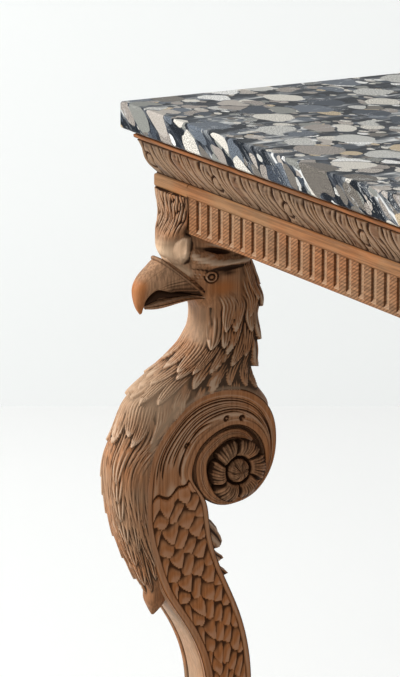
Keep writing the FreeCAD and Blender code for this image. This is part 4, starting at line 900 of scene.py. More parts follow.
# Height, front, back and half width of a section, in millimetres of the leg's measures
BIRD = (
    (292, 26.5, 23.5, 1.5), (297, 29, 19, 5), (304, 32, 14, 9.5), (312, 34.3, 11, 12.8),
    (320, 34, 10, 14), (328, 36, 6, 16.5), (338, 42, 0, 20), (360, 53, 2, 24.5), (395, 67.5, 10, 27.5),
    (430, 76.6, 14, 29), (462, 80.6, 5, 29.5), (490, 78.4, -55, 29.8), (505, 72.6, -106, 30),
    (520, 67, -121, 30), (533, 62.6, -115.6, 30), (545, 56.5, -106.2, 30), (556, 44.2, -99.6, 30),
    (566, 31.4, -96, 30), (578, 12.8, -95.5, 29.8), (590, -3, -99.5, 29.5), (600, -13.6, -100.6, 29.3),
    (612, -21, -101.4, 29), (630, -26.6, -101.4, 28.5), (640, -27, -104, 29), (648, -25.3, -106.5, 29.5),
    (664, -10, -103.5, 30), (682, -2, -98.5, 30.5), (700, 9, -93, 30), (712, 12, -90, 29.5),
    (722, 10, -87, 28), (736.3, 4, -84, 24),
)
BIRD_ROWS = 476
BIRD_COLUMNS = 264
NECK_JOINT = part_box("left_eagle_head")[0].z / MM
BREAST_FRONT = 82.6
SECTION_POWER = 2.7
SECTION_LONG, SECTION_SHORT = 62, 30
# Half width that the bird keeps under the scroll's cheeks, more where it stands free and less deep inside
HIDDEN_HALF = LEG_HALF - 2.5
FREE_MORE, DEEP_LESS = 12, 11
FRONT_CROWDING = 0.24
FACE_TAPER = 0.38


def scroll_outline():
    """The scroll's outer line, from the shank up round the volute and back down the shank."""
    at, stations, front, back = leg_strip(2)
    low = stations[SHANK_STATION]
    crease = stations[WAVE_STATION] + 12
    shank = (at >= low) & (at <= crease)
    rolled = (at >= low) & (at <= stations[ROLL_STATION])
    return np.concatenate((front[rolled], back[shank][::-1]))


def line_distance(forward, height, points):
    """Distance from a bent line drawn on the side of the leg."""
    near = np.full(np.shape(forward), 1e9)
    points = np.array(points, float)
    for start, end in zip(points[:-1], points[1:]):
        way = end - start
        share = ((forward - start[0]) * way[0] + (height - start[1]) * way[1]) / max(way @ way, 1e-9)
        share = np.clip(share, 0, 1)
        off = np.hypot(forward - start[0] - share * way[0], height - start[1] - share * way[1])
        near = np.minimum(near, off)
    return near


def depth_inside(forward, height, outline):
    """How deep points lie inside a closed outline, less than nought outside it."""
    inside = np.zeros(forward.shape, bool)
    for start, end in zip(outline, np.roll(outline, -1, axis=0)):
        crosses = (start[1] > height) != (end[1] > height)
        slope = (end[0] - start[0]) / (end[1] - start[1] + 1e-12)
        inside ^= crosses & (forward < start[0] + (height - start[1]) * slope)
    near = line_distance(forward, height, np.concatenate((outline, outline[:1])))
    return np.where(inside, near, -near)


def spot(form, place, reach, longer=1.0, taller=1.0):
    """A soft round or oval spot on the sides of the bird, about a place of forward and height."""
    off = np.hypot((form[..., 1] - place[0]) / longer, (form[..., 2] - place[1]) / taller)
    return hump(off, reach)


def even_angles(count, long, short):
    """Angles that walk an oval of that shape in even steps, a little closer at its front."""
    fine = np.linspace(0, 2 * np.pi, 4000)
    walk = walked(np.stack((long * np.cos(fine), short * np.sin(fine)), axis=1))
    steps = np.linspace(0, 1, count, endpoint=False)
    crowded = steps - FRONT_CROWDING * np.sin(2 * np.pi * steps) / (2 * np.pi)
    return np.interp(crowded * walk[-1], walk, fine)


def bird_form():
    """The plain form: height, forward and across of every point, from the top row down."""
    table = np.array(BIRD, float)
    height = np.linspace(table[-1, 0], table[0, 0], BIRD_ROWS)
    front, back, half = smooth_line(table[:, 0], table[:, 1:], height).T[:, :, None]
    angle = even_angles(BIRD_COLUMNS, SECTION_LONG, SECTION_SHORT)[None, :]
    power = 2 / SECTION_POWER
    deep = np.sign(np.cos(angle)) * np.abs(np.cos(angle)) ** power
    wide = np.sign(np.sin(angle)) * np.abs(np.sin(angle)) ** power
    forward = (front + back) / 2 + (front - back) / 2 * deep
    level = np.broadcast_to(height[:, None], forward.shape)
    face = 1 - FACE_TAPER * ease(forward, -42, 12) * ease(level, 652, 674)
    return np.stack((np.maximum(half, 1.0) * wide * face, forward, level), axis=-1), angle[0]


# Shapes of feathers: how fast they widen, how blunt and how round their tips are, width of the soft edge,
# sharpness of the grooves, thickness at the root, how late the tip lifts and depth of the grooves
PLUME_SHAPE = (5, 3.4, 0.7, 1.3, 1.5, 1.1, 1.3, 1.0)
LOCK_SHAPE = (7, 4, 0.8, 1.5, 1.8, 1.6, 1.4, 1.5)


class Plumage:
    """Feathers laid over the bird's form, each following the form downwards."""

    def __init__(self, form, angle):
        """The way down and round the form to every point, with nothing laid on it yet."""
        self.angle = angle
        self.height = form[:, 0, 2]
        steps = np.linalg.norm(np.diff(form, axis=0), axis=2)
        self.down = np.concatenate((np.zeros((1, form.shape[1])), np.cumsum(steps, axis=0)))
        ring = np.linalg.norm(np.roll(form, -1, axis=1) - form, axis=2)
        start = np.zeros((form.shape[0], 1))
        self.round = np.concatenate((start, np.cumsum(ring, axis=1)[:, :-1]), axis=1)
        self.girth = ring.sum(axis=1, keepdims=True)
        self.relief = np.zeros(form.shape[:2])

    def place(self, root, turn):
        """Row and column of a feather's root, from its height and its turn from the front."""
        row = int(np.argmin(np.abs(self.height - root)))
        column = int(np.argmin(np.abs((self.angle - turn + np.pi) % (2 * np.pi) - np.pi)))
        return row, column

    def turn_at(self, root, walk):
        """Turn from the front of a point that far round the form at a height."""
        row = int(np.argmin(np.abs(self.height - root)))
        return float(np.interp(walk, self.round[row], self.angle))

    def reach(self, row, column, length):
        """Rows that a feather covers, and how far along and across it each point lies."""
        last = int(np.argmax(self.down[:, column] > self.down[row, column] + length * 1.25))
        rows = slice(row, last if last > row else len(self.height))
        along = self.down[rows] - self.down[row]
        girth = self.girth[rows]
        across = self.round[rows] - self.round[rows, column][:, None]
        across = (across + girth / 2) % girth - girth / 2
        return rows, along, across

    def lay(self, shape, rows, share, across, width, lift, cuts, phase, grooved, raised):
        """One feather of a shape, where it stands higher than what lies there: share runs down its length."""
        widen, blunt, tip, soft, sharp, thick, late, deep = shape
        outline = np.clip(share * widen, 0, 1) ** 0.5 * np.clip(1 - share ** blunt, 0, 1) ** tip * width / 2
        off = across / np.maximum(outline, 0.01)
        edge = ease(outline - np.abs(across), 0.0, soft)
        groove = (0.5 - 0.5 * np.cos(2 * np.pi * (off * cuts / 2 + phase))) ** sharp
        rise = thick + lift * share ** late - 0.7 * np.square(off) - deep * groove * grooved
        inside = (share > 0) & (share < 1) & (np.abs(off) < 1)
        feather = np.where(inside, np.maximum(rise * edge * raised, 0.05), 0.0)
        self.relief[rows] = np.maximum(self.relief[rows], feather)

    def plume(self, root, turn, length, width, lift, lean, cuts, phase):
        """One leaf shaped feather with long grooves that fan from its root, and a lifted tip."""
        rows, along, across = self.reach(*self.place(root, turn), length)
        share = along / length
        across = across - lean * along
        grooved = ease(share, 0.06, 0.25) * (1 - 0.6 * ease(share, 0.82, 1.0))
        raised = ease(share, 0.0, 0.34)
        self.lay(PLUME_SHAPE, rows, share, across, width, lift, cuts, phase, grooved, raised)

    def lock(self, root, turn, length, width, lift, sway, cuts, phase):
        """One long hanging lock, waving, with sharp grooves along it and a pointed tip."""
        rows, along, across = self.reach(*self.place(root, turn), length)
        share = along / length
        across = across - sway * np.sin(2 * np.pi * share * 0.9 + phase)
        grooved = ease(share, 0.03, 0.15)
        self.lay(LOCK_SHAPE, rows, share, across, width, lift, cuts, 0.25 * np.sin(phase), grooved, 1.0)


# How far round from the front the smooth throat and face reach, by height
THROAT = ((616, 0.0), (626, 0.3), (636, 0.75), (650, 1.1), (664, 1.45), (676, 1.95), (708, 2.2))
PLUME_STEP = 23.0
PLUME_GAP = 16.0
# Rows of hanging locks: height of their roots, length, gap and lift
LOCK_ROWS = ((420, 92, 12.0, 2.4), (468, 120, 12.5, 2.8), (522, 165, 13.5, 2.6))
# Tips that stand out at the chest's corners: height, length and lift
CHEST_TIPS = ((456, 60, 3.0), (437, 52, 3.4), (416, 56, 3.6), (388, 58, 4.0), (359, 60, 4.2), (332, 56, 4.0))
# Tips that stand out at the nape's corners: height, lift and length
NAPE_TIPS = ((641, 5.5, 48), (604, 7.5, 46), (573, 11.0, 44))
CORNER_TURN = 0.52


def hang_locks(coat, chance):
    """Long wavy locks of the lower chest, the lowest row first."""
    for place, (root, length, gap, lift) in enumerate(LOCK_ROWS):
        row = coat.place(root, 0.0)[0]
        for number in range(int(coat.girth[row, 0] / gap / 2.3) + 1):
            turn = coat.turn_at(root, (number + 0.5 * (place % 2)) * gap)
            for hand in (1, -1):
                coat.lock(
                    root + chance.uniform(-12, 12), hand * turn, length * chance.uniform(0.85, 1.12),
                    gap * chance.uniform(1.15, 1.4), lift * chance.uniform(0.7, 1.25),
                    hand * chance.uniform(0.6, 3.0), chance.choice((3, 4, 5)), chance.uniform(0, 6.28),
                )
    for tip, length, lift in CHEST_TIPS:
        for turn in (-CORNER_TURN, CORNER_TURN):
            coat.lock(tip + length * 0.93, turn, length, 16, lift, 0.6, 3, 0.0)


def lay_plumes(coat, chance):
    """Leaf shaped feathers from the breast up to the back of the head."""
    throat = np.array(THROAT)
    for step, root in enumerate(np.arange(550, 722, PLUME_STEP)):
        row = coat.place(root, 0.0)[0]
        for number in range(int(coat.girth[row, 0] / 2 / PLUME_GAP) + 1):
            turn = coat.turn_at(root, (number + 0.5 * (step % 2)) * PLUME_GAP)
            if turn > np.pi or turn < np.interp(root, throat[:, 0], throat[:, 1]):
                continue
            if root < 590 and turn > 2.1:
                continue
            for hand in (1, -1):
                coat.plume(
                    root + chance.uniform(-8, 8), hand * turn + chance.uniform(-0.05, 0.05),
                    chance.uniform(46, 60), chance.uniform(18, 23), chance.uniform(2.8, 4.2),
                    hand * chance.uniform(-0.16, 0.12), chance.choice((4, 5, 5, 6)),
                    chance.uniform(-0.2, 0.2),
                )
    for tip, lift, length in NAPE_TIPS:
        for turn in (np.pi - CORNER_TURN, np.pi + CORNER_TURN):
            coat.plume(tip + 0.95 * length, turn, length, 24, lift, 0.0, 3, 0.0)


# Places and lines on the side of the head and neck, forward and height
EYE = (-35, 682.8)
BROW = ((-10, 711), (-22, 704), (-36, 699.5), (-52, 697.5), (-70, 697), (-86, 697))
BROW_BOSS = (
    (3, 730), (-6, 731.6), (-13.5, 727.5), (-12, 717.3), (-9.5, 704.9), (-5, 699), (3, 702), (9, 712),
    (9, 725),
)
BOSS_CREASE = ((-14.5, 722), (-12.8, 713), (-10.5, 704), (-7, 698.5))
HOLLOW = (-43, 711.5)
LID_CREASE = ((-8, 703.4), (-15, 692.2), (-29, 690))
CHEEK_PATCH = (-50, 669)
BREAST_PATCH = (34, 550)
CHEEK_DOWN = (-20, 684)
UNDER_BROW = (-57, 692)
GAPE = ((4, 663.5), (-12, 662.5), (-25, 661.5))
FOREHEAD = ((14.5, 706.5), (1.5, 696.5), (-11, 686.5))
THROAT_FOLD = ((-36.8, 645), (-37.3, 628), (-34, 612))
BARE_STRIP = ((8, 538), (20, 524), (33, 509), (40, 494))
# Rise, radius and half width of the eyeball, of the groove round it and of the lid's ring
EYE_RINGS = ((0.9, 0.0, 2.4), (-1.3, 3.6, 0.9), (0.9, 5.4, 1.2))
# Painted shade on the back of the neck and under the brow, and the eye made darker: its place, how dark it
# is, its reach, and how much longer and taller than round it is
SHADE_AND_EYE_SPOTS = (
    ((-72, 562), 0.68, 27, 1.4, 1.3), (EYE, 0.75, 6.5, 1.0, 1.0), ((-56, 687.5), 0.8, 5.5, 2.6, 1.0),
)


def face_relief(form):
    """Eye in its ring, the heavy brow with its rounded front and the hollow above it."""
    across, forward, height = form[..., 0], form[..., 1], form[..., 2]
    half = np.max(np.abs(across), axis=1, keepdims=True)
    side = ease(np.abs(across) / half, 0.45, 0.8)
    off = np.hypot(forward - EYE[0], (height - EYE[1]) * 1.1)
    lid = 0.35 + 0.65 * ease(EYE[1] + 4 - height, 0, 8)
    eye = sum(rise * hump(off - radius, wide) for rise, radius, wide in EYE_RINGS)
    eye = eye - 1.3 * hump(off - 7.4, 1.1) * lid
    brow = line_distance(forward, height, BROW)
    taper = ease(forward, -88, -20)
    heavy = (3.0 + 2.4 * taper) * hump(brow, 3.4 + 3.2 * taper)
    waves = height + 0.25 * forward + 1.5 * np.sin(forward / 7)
    hairs = 0.2 * np.cos(2 * np.pi * waves / 4.6) * hump(brow, 9.0)
    slope = 3.2 + 7.0 * ease(forward, -9, 0)
    boss = 4.8 * ease(depth_inside(forward, height, np.array(BROW_BOSS)), -1.2, slope)
    crease = 0.7 * hump(line_distance(forward, height, LID_CREASE), 2.2)
    crease = crease + 0.7 * hump(line_distance(forward, height, BOSS_CREASE), 1.4)
    gape = 2.6 * hump(line_distance(forward, height, GAPE), 1.5)
    down = 0.5 * np.cos(2 * np.pi * (height - 0.6 * forward) / 4.4)
    down = down * np.cos(2 * np.pi * (forward + 0.4 * height) / 9) * spot(form, CHEEK_DOWN, 9, 1.2)
    dip = height - HOLLOW[1] - 0.20 * (forward - HOLLOW[0])
    hollow = 6.5 * hump(np.hypot((forward - HOLLOW[0]) / 3.6, dip), 3.8)
    under = 2.2 * spot(form, UNDER_BROW, 2.6, 6.0)
    carved = side * (eye + heavy + hairs + down - hollow - under - gape - crease)
    return carved + ease(np.abs(across) / half, 0.3, 0.6) * boss


def face_tone(form):
    """Orange under the eye, and pale as painted light on the brow's front, the forehead, the throat and the
    breast.
    """
    forward, height = form[..., 1], form[..., 2]
    orange = spot(form, CHEEK_PATCH, 9, 1.8)
    # Painted light: pale on the lit fronts of the brow, forehead strip, throat and breast
    pale = 1.2 * ease(depth_inside(forward, height, np.array(BROW_BOSS)), -2.5, 2.0)
    strip = 1.9 * hump(line_distance(forward, height, FOREHEAD), 4.4)
    throat = 0.6 * hump((forward + 26) / 1.4, 9) * ease(height, 596, 612) * ease(-height, -660, -640)
    breast = 0.22 * ease(-height, -640, -560) + 0.75 * spot(form, BREAST_PATCH, 24, 1.3)
    return orange - np.maximum(np.maximum(pale, strip), np.maximum(throat, breast))


def carve_bird():
    """The form with all its carving, its cuts and its tones, hidden where the scroll stands in front."""
    form, angle = bird_form()
    forward, height = form[..., 1], form[..., 2]
    chance = np.random.default_rng(11)
    coat = Plumage(form, angle)
    hang_locks(coat, chance)
    lay_plumes(coat, chance)
    outline = scroll_outline()
    gap = -depth_inside(forward, height, outline)
    strip = line_distance(forward, height, BARE_STRIP)
    plain_and_pale = np.maximum(hump(strip, 4.0), 0.6 * hump(gap - 1, 2.4)) * ease(height, 470, 490)
    fold = 1.7 * hump(line_distance(forward, height, THROAT_FOLD), 1.7)
    relief = coat.relief * (1 - 0.92 * plain_and_pale) + face_relief(form) - fold
    relief = relief * ease(height, 312, 324)
    normal = outward(form)
    middle = form.mean(axis=1, keepdims=True)
    turned = np.sign(np.sum(normal * (form - middle), axis=2).mean())
    carved = form + turned * normal * relief[..., None]
    sunk = depth_inside(carved[..., 1], carved[..., 2], outline)
    limit = HIDDEN_HALF + FREE_MORE * (1 - ease(sunk, 0.0, 2.0)) - DEEP_LESS * ease(sunk, 6, 16)
    carved[..., 0] = np.clip(carved[..., 0], -limit, limit)
    carved[..., 1] = np.minimum(carved[..., 1], BREAST_FRONT)
    shade = sum(dark * spot(form, place, *size) for place, dark, *size in SHADE_AND_EYE_SPOTS)
    # Darker towards the bottom of the breast
    shade = shade + 0.32 * ease(-height, -430, -350)
    return carved, np.clip(cut_depth(relief, 3, 0.88) + shade, -1, 1), face_tone(form) - 0.6 * plain_and_pale


BIRD_SURFACE, BIRD_CUT, BIRD_TONE = carve_bird()
NECK_ROW = int(np.argmin(np.abs(BIRD_SURFACE[:, :, 2].mean(axis=1) - NECK_JOINT)))


def bird_shell(name, side, rows):
    """Some rows of the bird as a closed shell of one leg."""
    return leg_shell(name, side, BIRD_SURFACE[rows], BIRD_CUT[rows], BIRD_TONE[rows])


def make_breast(side):
    """Breast and neck up to the joint under the head."""
    piece = bird_shell(side + "_plumage", side, slice(NECK_ROW, None))
    settle(piece, "carved_pine", side + "_breast")


# Head: the skull's rows of the plumage with beak, jaw, mouth, cere and crest set on them

# Ridge forward and height, cutting edge forward and height, and half width of the upper beak
BEAK = (
    (3, 698, -44, 661, 17), (17, 702.5, -28, 662.5, 24), (26.6, 697, -13, 664.2, 22.2),
    (36.2, 689.8, -2, 665.6, 19.4), (43.2, 682.5, 7.5, 666.2, 16.5), (47, 675, 16.5, 670.5, 13.8),
    (48, 666.5, 27, 667, 11), (46.6, 657, 33.5, 660, 8), (43.6, 648.5, 35.8, 652, 4.6),
    (39.8, 642.8, 37, 644.5, 1.2),
)
# Forward, height, half height and half width of the lower beak, the mouth's hollow and the tongue
JAW = (
    (-52, 654, 6.0, 18), (-40, 656, 5.4, 22), (-26, 658, 3.4, 25), (-12, 658.2, 3.6, 22), (8, 654.7, 5.1, 16),
    (24, 651.5, 4.4, 9.5), (33, 650.0, 2.2, 3.6),
)
MOUTH = (
    (-32, 661.5, 1.2, 22), (-12, 663, 2.8, 18), (0, 663, 4.5, 14), (10, 663.5, 6.0, 11.5),
    (16, 664, 7.0, 9.5), (24, 661.5, 6.4, 7), (30, 657, 4.2, 4.5), (34, 654, 2.0, 2),
)
TONGUE = ((-20, 661.5, 1.6, 11), (0, 661.2, 2.2, 10.4), (14, 660.6, 2.0, 9), (25, 658.6, 1.0, 5.5))
BEAK_ROWS = 96
BEAK_COLUMNS = 84
LIP_ROWS = 96
LIP_COLUMNS = 12
JAW_ROWS, JAW_COLUMNS = 64, 44
MOUTH_ROWS, MOUTH_COLUMNS = 50, 32
# Stations of the upper beak at its lip and where its hook begins
LIP_STATION, HOOK_STATION = 1, 4


def beak_rings():
    """The upper beak's rings, how far each lies along it and where the stations lie."""
    table = np.array(BEAK, float)
    knots = walked((table[:, :2] + table[:, 2:4]) / 2)
    at = np.linspace(0, knots[-1], BEAK_ROWS)
    return smooth_line(knots, table, at), at, knots


def beak_surface():
    """The upper beak from ridge to cutting edge, with the share of the way down each ring."""
    rings, at, knots = beak_rings()
    turn = once_round(BEAK_COLUMNS)
    share = 0.5 - 0.5 * np.cos(turn)
    back = 1 - ease(at, knots[LIP_STATION], knots[HOOK_STATION])[:, None]
    wide = np.sign(np.sin(turn)) * np.abs(np.sin(turn)) ** (0.72 - 0.42 * back)
    wide = wide * (0.82 - 0.20 * back + (0.36 + 0.44 * back) * share)
    forward = rings[:, 0:1] + (rings[:, 2:3] - rings[:, 0:1]) * share
    height = rings[:, 1:2] + (rings[:, 3:4] - rings[:, 1:2]) * share
    across = np.maximum(rings[:, 4:5], 0.3) * wide
    return np.stack((across, forward, height), axis=-1), share


def make_beak(side):
    """The hooked upper beak, finely streaked along its curve and orange at its tip."""
    surface, share = beak_surface()
    forward, height = surface[..., 1], surface[..., 2]
    streaks = 0.24 * np.cos(2 * np.pi * share * 15) + 0.14 * np.cos(2 * np.pi * share * 37 + 1.0)
    # Painted shade along the cutting edge and on the lower side near the mouth
    edge = 0.5 * ease(share, 0.92, 1.0) + 0.48 * ease(share, 0.3, 0.75) * ease(-forward, -28, -8)
    edge = edge + 0.5 * ease(share, 0.84, 0.94) * ease(-forward, -4, 6)
    cut = np.clip(edge + streaks * ease(share, 0.03, 0.12), -1, 1)
    orange = np.maximum(ease(-height, -664, -648), 0.8 * ease(forward, 30, 42))
    tone = 0.9 * orange * ease(-height, -690, -676) - 0.12 * ease(height, 678, 694)
    return leg_shell(side + "_beak", side, surface, cut, tone)


def make_cere(side):
    """The raised lip where the feathers end and the beak begins."""
    at, knots = beak_rings()[1:]
    ring = beak_surface()[0][int(np.argmin(np.abs(at - knots[LIP_STATION])))]
    walk = np.linspace(0, len(ring), LIP_ROWS, endpoint=False)
    looped = np.concatenate((ring, ring[:1]))
    line = read_line(walk, np.arange(len(looped)), looped)
    out = line - line.mean(axis=0)
    out = out / np.linalg.norm(out, axis=1, keepdims=True)
    way = np.roll(line, -1, axis=0) - np.roll(line, 1, axis=0)
    way = way / np.linalg.norm(way, axis=1, keepdims=True)
    lean = np.cross(out, way)
    thick = 2.3 + 1.3 * ease(line[:, 2:3], 690, 704)
    turn = once_round(LIP_COLUMNS)[..., None]
    round_lip = np.cos(turn) * out[:, None, :] * 1.1 + np.sin(turn) * lean[:, None, :] * 0.8
    tube = line[:, None, :] + thick[:, None, :] * round_lip
    tube = np.concatenate((tube, tube[:1]), axis=0)
    cut = 0.26 + 0.3 * np.abs(np.sin(turn[..., 0])) * np.ones(tube.shape[:2])
    return leg_shell(side + "_cere", side, tube, cut)


def oval_tube(table, rows, columns):
    """Upright ovals along a run of places: forward, height, half height and half width."""
    table = np.array(table, float)
    at = np.linspace(table[0, 0], table[-1, 0], rows)
    rings = smooth_line(table[:, 0], table[:, 1:], at)
    turn = once_round(columns)
    height = rings[:, 0:1] + rings[:, 1:2] * np.cos(turn)
    across = rings[:, 2:3] * np.sin(turn)
    return np.stack((across, at[:, None] * np.ones_like(turn), height), axis=-1)


def make_jaw(side):
    """The lower beak with a dark upper edge and a groove along its side."""
    surface = oval_tube(JAW, JAW_ROWS, JAW_COLUMNS)
    level = np.cos(once_round(JAW_COLUMNS))
    cut = 0.8 * hump(level - 0.15, 0.14) - 0.5 * hump(level - 0.6, 0.2) + 0.3 * hump(level + 0.4, 0.3)
    return leg_shell(side + "_jaw", side, surface, cut * np.ones(surface.shape[:2]))


def make_mouth(side):
    """The hollow of the mouth with the tongue in it, darkened as painted shadow and dirt."""
    shells = []
    for name, table, shade in (("_hollow", MOUTH, 1.0), ("_tongue", TONGUE, 0.45)):
        surface = oval_tube(table, MOUTH_ROWS, MOUTH_COLUMNS)
        shells.append(leg_shell(side + name, side, surface, np.full(surface.shape[:2], shade)))
    return shells


# Height and forward bulge of the crest over the stile, at its middle
CREST = (
    (698, 6), (705, 11), (711, 15), (718, 17.5), (725, 16.5), (734, 12.5), (743, 6.5), (750, 3.2), (757, 3.2),
    (765, 4.6), (776.3, 5.6),
)
# Height and half width of the crest
CREST_WIDTH = (
    (698, 17), (705, 15.5), (712, 14.5), (720, 15.5), (727, 19.5), (734, 25), (742, 29), (750, 31), (758, 33),
    (767, 36.5), (776.3, 37.5),
)
CREST_SHIFT = 3.5
CREST_ROWS = 96
CREST_COLUMNS = 130
CREST_BACK = -6.0
CREST_SEAT = 4.5


def make_crest(side):
    """Hanging tuft of dark cut strands over the stile, smooth below where it falls to the beak."""
    table = np.array(CREST, float)
    foot, top = table[0, 0], table[-1, 0]
    height = np.linspace(foot, top, CREST_ROWS)[:, None]
    bulge = smooth_line(table[:, 0], table[:, 1:], height[:, 0])
    share = np.linspace(-1, 1, CREST_COLUMNS)[None, :]
    width = np.array(CREST_WIDTH, float)
    half = smooth_line(width[:, 0], width[:, 1:], height[:, 0])
    round_off = np.clip(1 - np.abs(share) ** 2.8, 0, 1) ** 0.6
    rise = (height - foot) / (top - foot)
    fan = share * (1.0 + 0.12 * np.sin(np.pi * rise)) + 0.05 * np.sin(9 * rise + 4 * share)
    strands = np.abs(np.cos(np.pi * (3.6 * fan + 0.25 * np.sin(13 * rise + 9 * share)))) ** 0.6
    fine = 0.5 + 0.5 * np.cos(2 * np.pi * 9 * fan + 11 * rise)
    gaps = hump(np.sin(np.pi * (2.3 * fan + 1.2 * rise)), 0.16) * ease(height, 742, 760)
    carved = 0.10 + 0.90 * ease(height, 725, 746)
    relief = (2.8 * strands + 1.4 * fine - 2.9 - 3.0 * gaps) * carved
    forward = (bulge + CREST_SEAT) * round_off - CREST_SEAT + relief * ease(1 - np.abs(share), 0.0, 0.08)
    shift = CREST_SHIFT * ease(height, 716, 740) * (1 if side == "right" else -1)
    front = np.stack((half * share + shift, forward, height * np.ones_like(share)), axis=-1)
    back = front.copy()
    back[..., 1] = CREST_BACK
    surface = np.concatenate((front, back[:, ::-1]), axis=1)
    cut = cut_depth(relief, 3, 0.9, False) + 0.40 * carved
    cut = np.concatenate((cut, np.full(relief.shape, 0.6)), axis=1)
    # Orange under the crest's top, and its lower part pale as painted light where it meets the forehead
    orange = 0.4 * hump(height - 731, 6) - 1.8 * hump(height - 712, 13)
    tone = np.concatenate((orange * np.ones_like(share), np.zeros(relief.shape)), axis=1)
    return leg_shell(side + "_tuft", side, surface, cut, tone)


def make_head(side):
    """The eagle's head with its beak, open mouth, lip and crest, all carved from one block."""
    skull = bird_shell(side + "_skull", side, slice(0, NECK_ROW + 1))
    shells = [skull, make_beak(side), make_cere(side), make_jaw(side), *make_mouth(side), make_crest(side)]
    piece = joined(side + "_eagle", shells)
    settle(piece, "carved_pine", side + "_eagle_head")


# Cornice: running leaves with buds on the hollow and round moulding, mitred at the corners

# Places on the moulding from its foot up: forward of the rail and height, as shares of reach and rise
CORNICE_LINE = (
    (0.02, 0.0), (0.06, 0.01), (0.11, 0.05), (0.20, 0.11), (0.38, 0.22), (0.52, 0.35), (0.61, 0.47),
    (0.68, 0.585), (0.76, 0.68), (0.84, 0.74), (0.86, 0.752), (0.77, 0.775), (0.92, 0.80), (0.95, 0.85),
    (0.93, 0.875), (0.82, 0.90), (1.0, 0.925), (1.0, 1.0),
)
CORNICE_ROWS = 72
COLUMN_STEP = 1.05
LEAF_PITCH = 21.0
LEAF_LEAN = 10.0
STRAND_WIDTH = 1.45
# Wander of the leaves along the moulding: size and length in millimetres, and turn over the rise
LEAF_WANDER = ((3.4, 67.0, 3), (0.6, 19.0, -4))
BUD_PITCH = 146.0
BUD_START = 56.0
BUD_LEVEL, BUD_STAND = 0.46, 3.6
BUD_HALF_LENGTH, BUD_HALF_RISE = 7.0, 6.6
BUD_POWER = 2.4
CARVED_FROM, CARVED_TO, CARVED_RISE = 0.02, 0.77, 34
# Quirks between the mouldings and under the stone, darkened as painted shade: level as a share of the rise,
# and half width
QUIRKS = ((0.775, 0.016), (0.90, 0.014), (1.0, 0.012))
FILLET_HEIGHT = 10.5
FILLET_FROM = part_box("front_cornice")[1].z / MM - FILLET_HEIGHT


def cornice_relief(walk, rise):
    """Slanting leaf strands and buds: walk runs along the moulding, rise from 0 to 1 over the carved part."""
    slant = walk + LEAF_LEAN * rise - 5.0 * np.sin(2 * np.pi * rise)
    for size, length, turn in LEAF_WANDER:
        slant = slant + size * np.sin(2 * np.pi * walk / length + turn * rise)
    leaf = np.floor(slant / LEAF_PITCH)
    part = slant / LEAF_PITCH - leaf
    chance = by_chance(leaf, 5)
    strands = 2.0 + np.floor(2.0 * chance)
    fanned = part ** (0.8 + 0.5 * rise)
    place = strands * fanned
    from_groove = np.abs(place - np.round(place)) * LEAF_PITCH / strands
    deep = 0.6 + 1.3 * by_chance(leaf, np.round(place))
    from_edge = np.minimum(part, 1 - part) * LEAF_PITCH
    worn_and_painted_light = 0.5 + 0.5 * np.sin(walk / 10.0 + 5 * rise) * np.sin(walk / 24.0 - 4 * rise + 1)
    grooves = deep * ease(worn_and_painted_light, 0.25, 0.65) * hump(from_groove, STRAND_WIDTH) + 2.4 * hump(from_edge, 1.8)
    swell = np.sin(np.pi * np.clip(rise, 0, 1)) ** 0.4
    relief = swell * (1.5 + 1.9 * np.sin(np.pi * part) ** 0.7 - grooves)
    near = (walk + BUD_START) % BUD_PITCH - BUD_PITCH / 2
    above = (rise - BUD_LEVEL) * CARVED_RISE
    off = np.abs(near / BUD_HALF_LENGTH) ** BUD_POWER + np.abs(above / BUD_HALF_RISE) ** BUD_POWER
    off = off ** (1 / BUD_POWER)
    bud = BUD_STAND * np.sqrt(np.clip(1 - off ** 2, 0, 1)) - 0.5 * hump(near, 1.0) * (off < 1)
    return relief * (1 - 0.9 * ease(-off, -1.5, -1.0)) + bud - 0.7 * hump(off - 1.15, 0.15)


def cornice_shape(length, reach, foot, top):
    """Walk along a length of cornice, lean out from the rail, height and carving of every point."""
    line = np.array(CORNICE_LINE, float)
    knots = walked(line * (reach, top - foot))
    place = np.linspace(0, knots[-1], CORNICE_ROWS)
    share = read_line(place, knots, line)
    walk = np.linspace(0, length, int(length / COLUMN_STEP))[None, :]
    rise = (share[:, 1:] - CARVED_FROM) / (CARVED_TO - CARVED_FROM)
    carved = (rise > 0) & (rise < 1)
    ends = ease(walk, 0, 6) * ease(length - walk, 0, 6)
    relief = cornice_relief(walk, np.clip(rise, 0, 1)) * carved * ends
    lean = np.minimum(reach * share[:, :1] - 1.2 * carved + 0.8 * relief, reach)
    height = foot + (top - foot) * share[:, 1:] - 0.35 * relief
    return walk, lean, height, relief


